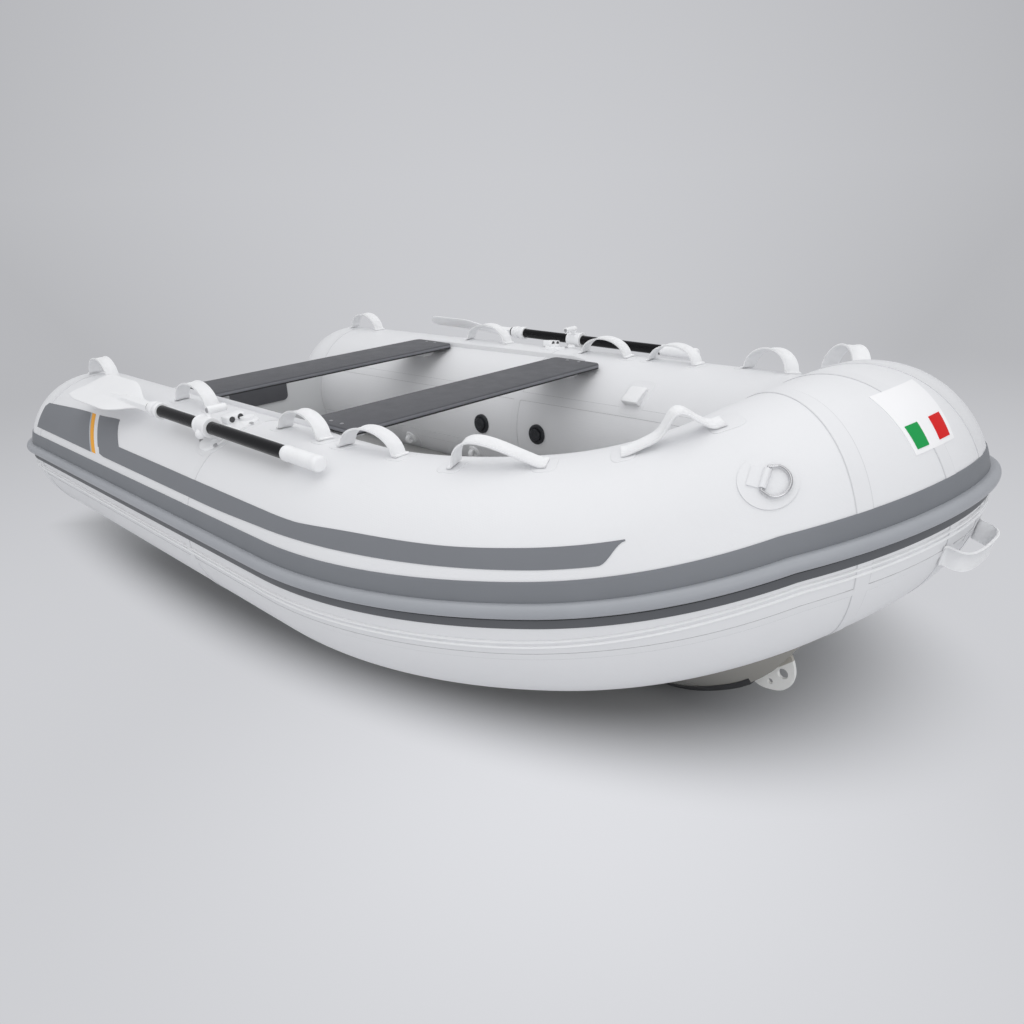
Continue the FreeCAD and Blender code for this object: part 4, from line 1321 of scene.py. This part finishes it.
def tinted_grey(sh, tone):
    return sh.node("ShaderNodeCombineColor", {}, {0: tone * 0.990, 1: tone, 2: tone * 1.042})


def rounded_box(x, y, middle, half, power):
    """How far out a point lies in a rounded box on the floor, with one on its edge."""
    across, along = (x - middle[0]) / half[0], (y - middle[1]) / half[1]
    return (abs(across) ** power + abs(along) ** power) ** (1 / power)


def seen_directly(sh):
    """One for rays that show the backdrop itself, or its picture in a shiny or clear surface."""
    camera, glossy, clear = [sh.node("ShaderNodeLightPath", output="Is %s Ray" % kind)
                             for kind in ("Camera", "Glossy", "Transmission")]
    return camera.most(glossy).most(clear)


def floor_material(aside):
    """Floor with its own tone outside a rounded area round the boat, with a painted pool of light and
    painted shade to the sides; inside the area it takes the boat's real shadow and, as seen directly, a
    darker colour as painted shadow.
    """
    sh = Shader("studio floor")
    x, y, z = sh.parts(sh.node("ShaderNodeNewGeometry"))
    east, north = x - POOL_X, y - POOL_Y
    away = (east * east + north * north) ** 0.5
    # Painted pool of light: brighter round the pool's middle, greyer away from it.
    painted_light_pool = 0.745 - sh.fade(away, 0.0, 1.3) * 0.125
    turn = (east * aside.x + north * aside.y) / away.most(0.5)
    tone = painted_light_pool + (shaded_far_tone(turn) - painted_light_pool) * sh.fade(away, 1.6, 6.0)
    # Rounded areas round the boat inside which the floor takes the real shadow; as seen directly its colour
    # there is darker, a painted shadow.
    under = rounded_box(x, y, (-0.86, 0.25), (1.81, 0.775), 2.2)
    shadow_round_boat = rounded_box(x, y, (-0.05, 0.0), (1.76, 1.05), 3.0)
    bare = sh.fade(under, 1.06, 1.41).most(sh.fade(shadow_round_boat, 0.97, 1.17))
    seen = seen_directly(sh)
    shown = bare * seen
    black = (0.0, 0.0, 0.0)
    # Painted shadow: the floor under the boat is darker as seen directly than as it lights the boat.
    shadow_paint = sh.mix(seen, (0.68, 0.685, 0.70), (0.41, 0.415, 0.425))
    sh.set(Base_Color=sh.mix(shown, shadow_paint, black), Roughness=0.9, Specular_IOR_Level=0.0,
           Emission_Color=sh.mix(shown, black, tinted_grey(sh, tone)), Emission_Strength=1.0)
    return sh.owner


class BOAT_OT_stage(bpy.types.Operator):
    """Pale floor with painted light and shadow, backdrop, lights and the camera."""

    bl_idname = "boat.stage"
    bl_label = "Studio"

    def execute(self, context):
        settings = context.scene.boat_studio
        look = heading(*CAMERA_AIM)
        aside = Vector((look.y, -look.x, 0)).normalized()
        self.floor(aside)
        self.backdrop(aside, settings.sky)
        area_light("key softbox", (0.6, -0.5, 4.2), (0, 0, 0), 5.0, settings.key_power)
        area_light("front softbox", (4.8, -3.2, 2.4), (0.3, 0, 0.4), 3.4, settings.fill_power)
        context.scene.view_settings.view_transform = "Standard"
        self.camera(look, settings.lens)
        return {"FINISHED"}

    def floor(self, aside):
        low = CAD_BOX[0].z
        mesh = bpy.data.meshes.new("studio_floor")
        corners = [(x * FLOOR_REACH, y * FLOOR_REACH, low) for x, y in ((-1, -1), (1, -1), (1, 1), (-1, 1))]
        mesh.from_pydata(corners, [], [(0, 1, 2, 3)])
        mesh.materials.append(floor_material(aside))
        floor = bpy.data.objects.new("studio_floor", mesh)
        bpy.context.scene.collection.objects.link(floor)

    def backdrop(self, aside, sky):
        """Light all round, and the tone that the far backdrop shows, painted darker upward and to the sides
        as shade.
        """
        world = bpy.data.worlds.new("studio")
        bpy.context.scene.world = world
        sh = Shader("sky", world)
        x, y, z = sh.parts(sh.place("Generated"))
        turn = (x * aside.x + y * aside.y) / (x * x + y * y).most(0.01) ** 0.5
        # Painted shade: the backdrop is darker higher up.
        shown = tinted_grey(sh, shaded_far_tone(turn) - z.most(0.0) * 0.16)
        lit = (sky, sky * 1.005, sky * 1.02)
        back = sh.tree.nodes["Background"]
        sh.link(sh.mix(seen_directly(sh), lit, shown), back.inputs[0])
        back.inputs[1].default_value = 1.0

    def camera(self, look, lens):
        """Camera of the photo, from its place, aim and roll."""
        camera = bpy.data.cameras.new("camera")
        camera.lens, camera.sensor_width = lens, 36.0
        viewer = bpy.data.objects.new("camera", camera)
        bpy.context.scene.collection.objects.link(viewer)
        right = look.cross(UP).normalized()
        up = right.cross(look)
        roll = math.radians(CAMERA_ROLL)
        across = right * math.cos(roll) + up * math.sin(roll)
        rise = up * math.cos(roll) - right * math.sin(roll)
        turn = Matrix((across, rise, -look)).transposed().to_4x4()
        viewer.matrix_world = Matrix.Translation(CAMERA_PLACE + ORIGIN) @ turn
        bpy.context.scene.camera = viewer


def area_light(name, place, aim, width, power):
    lamp = bpy.data.lights.new(name, "AREA")
    lamp.shape = "SQUARE"
    lamp.size = width
    lamp.energy = power
    holder = bpy.data.objects.new(name, lamp)
    bpy.context.scene.collection.objects.link(holder)
    holder.location = place
    holder.rotation_mode = "QUATERNION"
    holder.rotation_quaternion = (Vector(place) - Vector(aim)).to_track_quat("Z", "Y")
    return holder


OPERATORS = (BOAT_OT_materials, BOAT_OT_collar, BOAT_OT_seams, BOAT_OT_prints, BOAT_OT_strake, BOAT_OT_loops,
             BOAT_OT_seats, BOAT_OT_fittings, BOAT_OT_oars, BOAT_OT_stage)


class BOAT_PT_panel(bpy.types.Panel):
    """Lists the boat's operators and settings."""

    bl_label = "Boat"
    bl_idname = "BOAT_PT_panel"
    bl_space_type = "VIEW_3D"
    bl_region_type = "UI"
    bl_category = "Boat"

    def draw(self, context):
        for operator in OPERATORS:
            self.layout.operator(operator.bl_idname)
        for group in (context.scene.boat_sizes, context.scene.boat_colours, context.scene.boat_studio):
            for name in group.__annotations__:
                self.layout.prop(group, name)


GROUPS = (("boat_sizes", BoatSizes), ("boat_colours", BoatColours), ("boat_studio", StudioSettings))


def register():
    for name, group in GROUPS:
        bpy.utils.register_class(group)
        setattr(bpy.types.Scene, name, PointerProperty(type=group))
    for item in (*OPERATORS, BOAT_PT_panel):
        bpy.utils.register_class(item)


def unregister():
    for item in (BOAT_PT_panel, *reversed(OPERATORS)):
        bpy.utils.unregister_class(item)
    for name, group in reversed(GROUPS):
        delattr(bpy.types.Scene, name)
        bpy.utils.unregister_class(group)


def main():
    register()
    for operator in OPERATORS:
        group, name = operator.bl_idname.split(".")
        getattr(getattr(bpy.ops, group), name)()


if __name__ == "__main__":
    main()
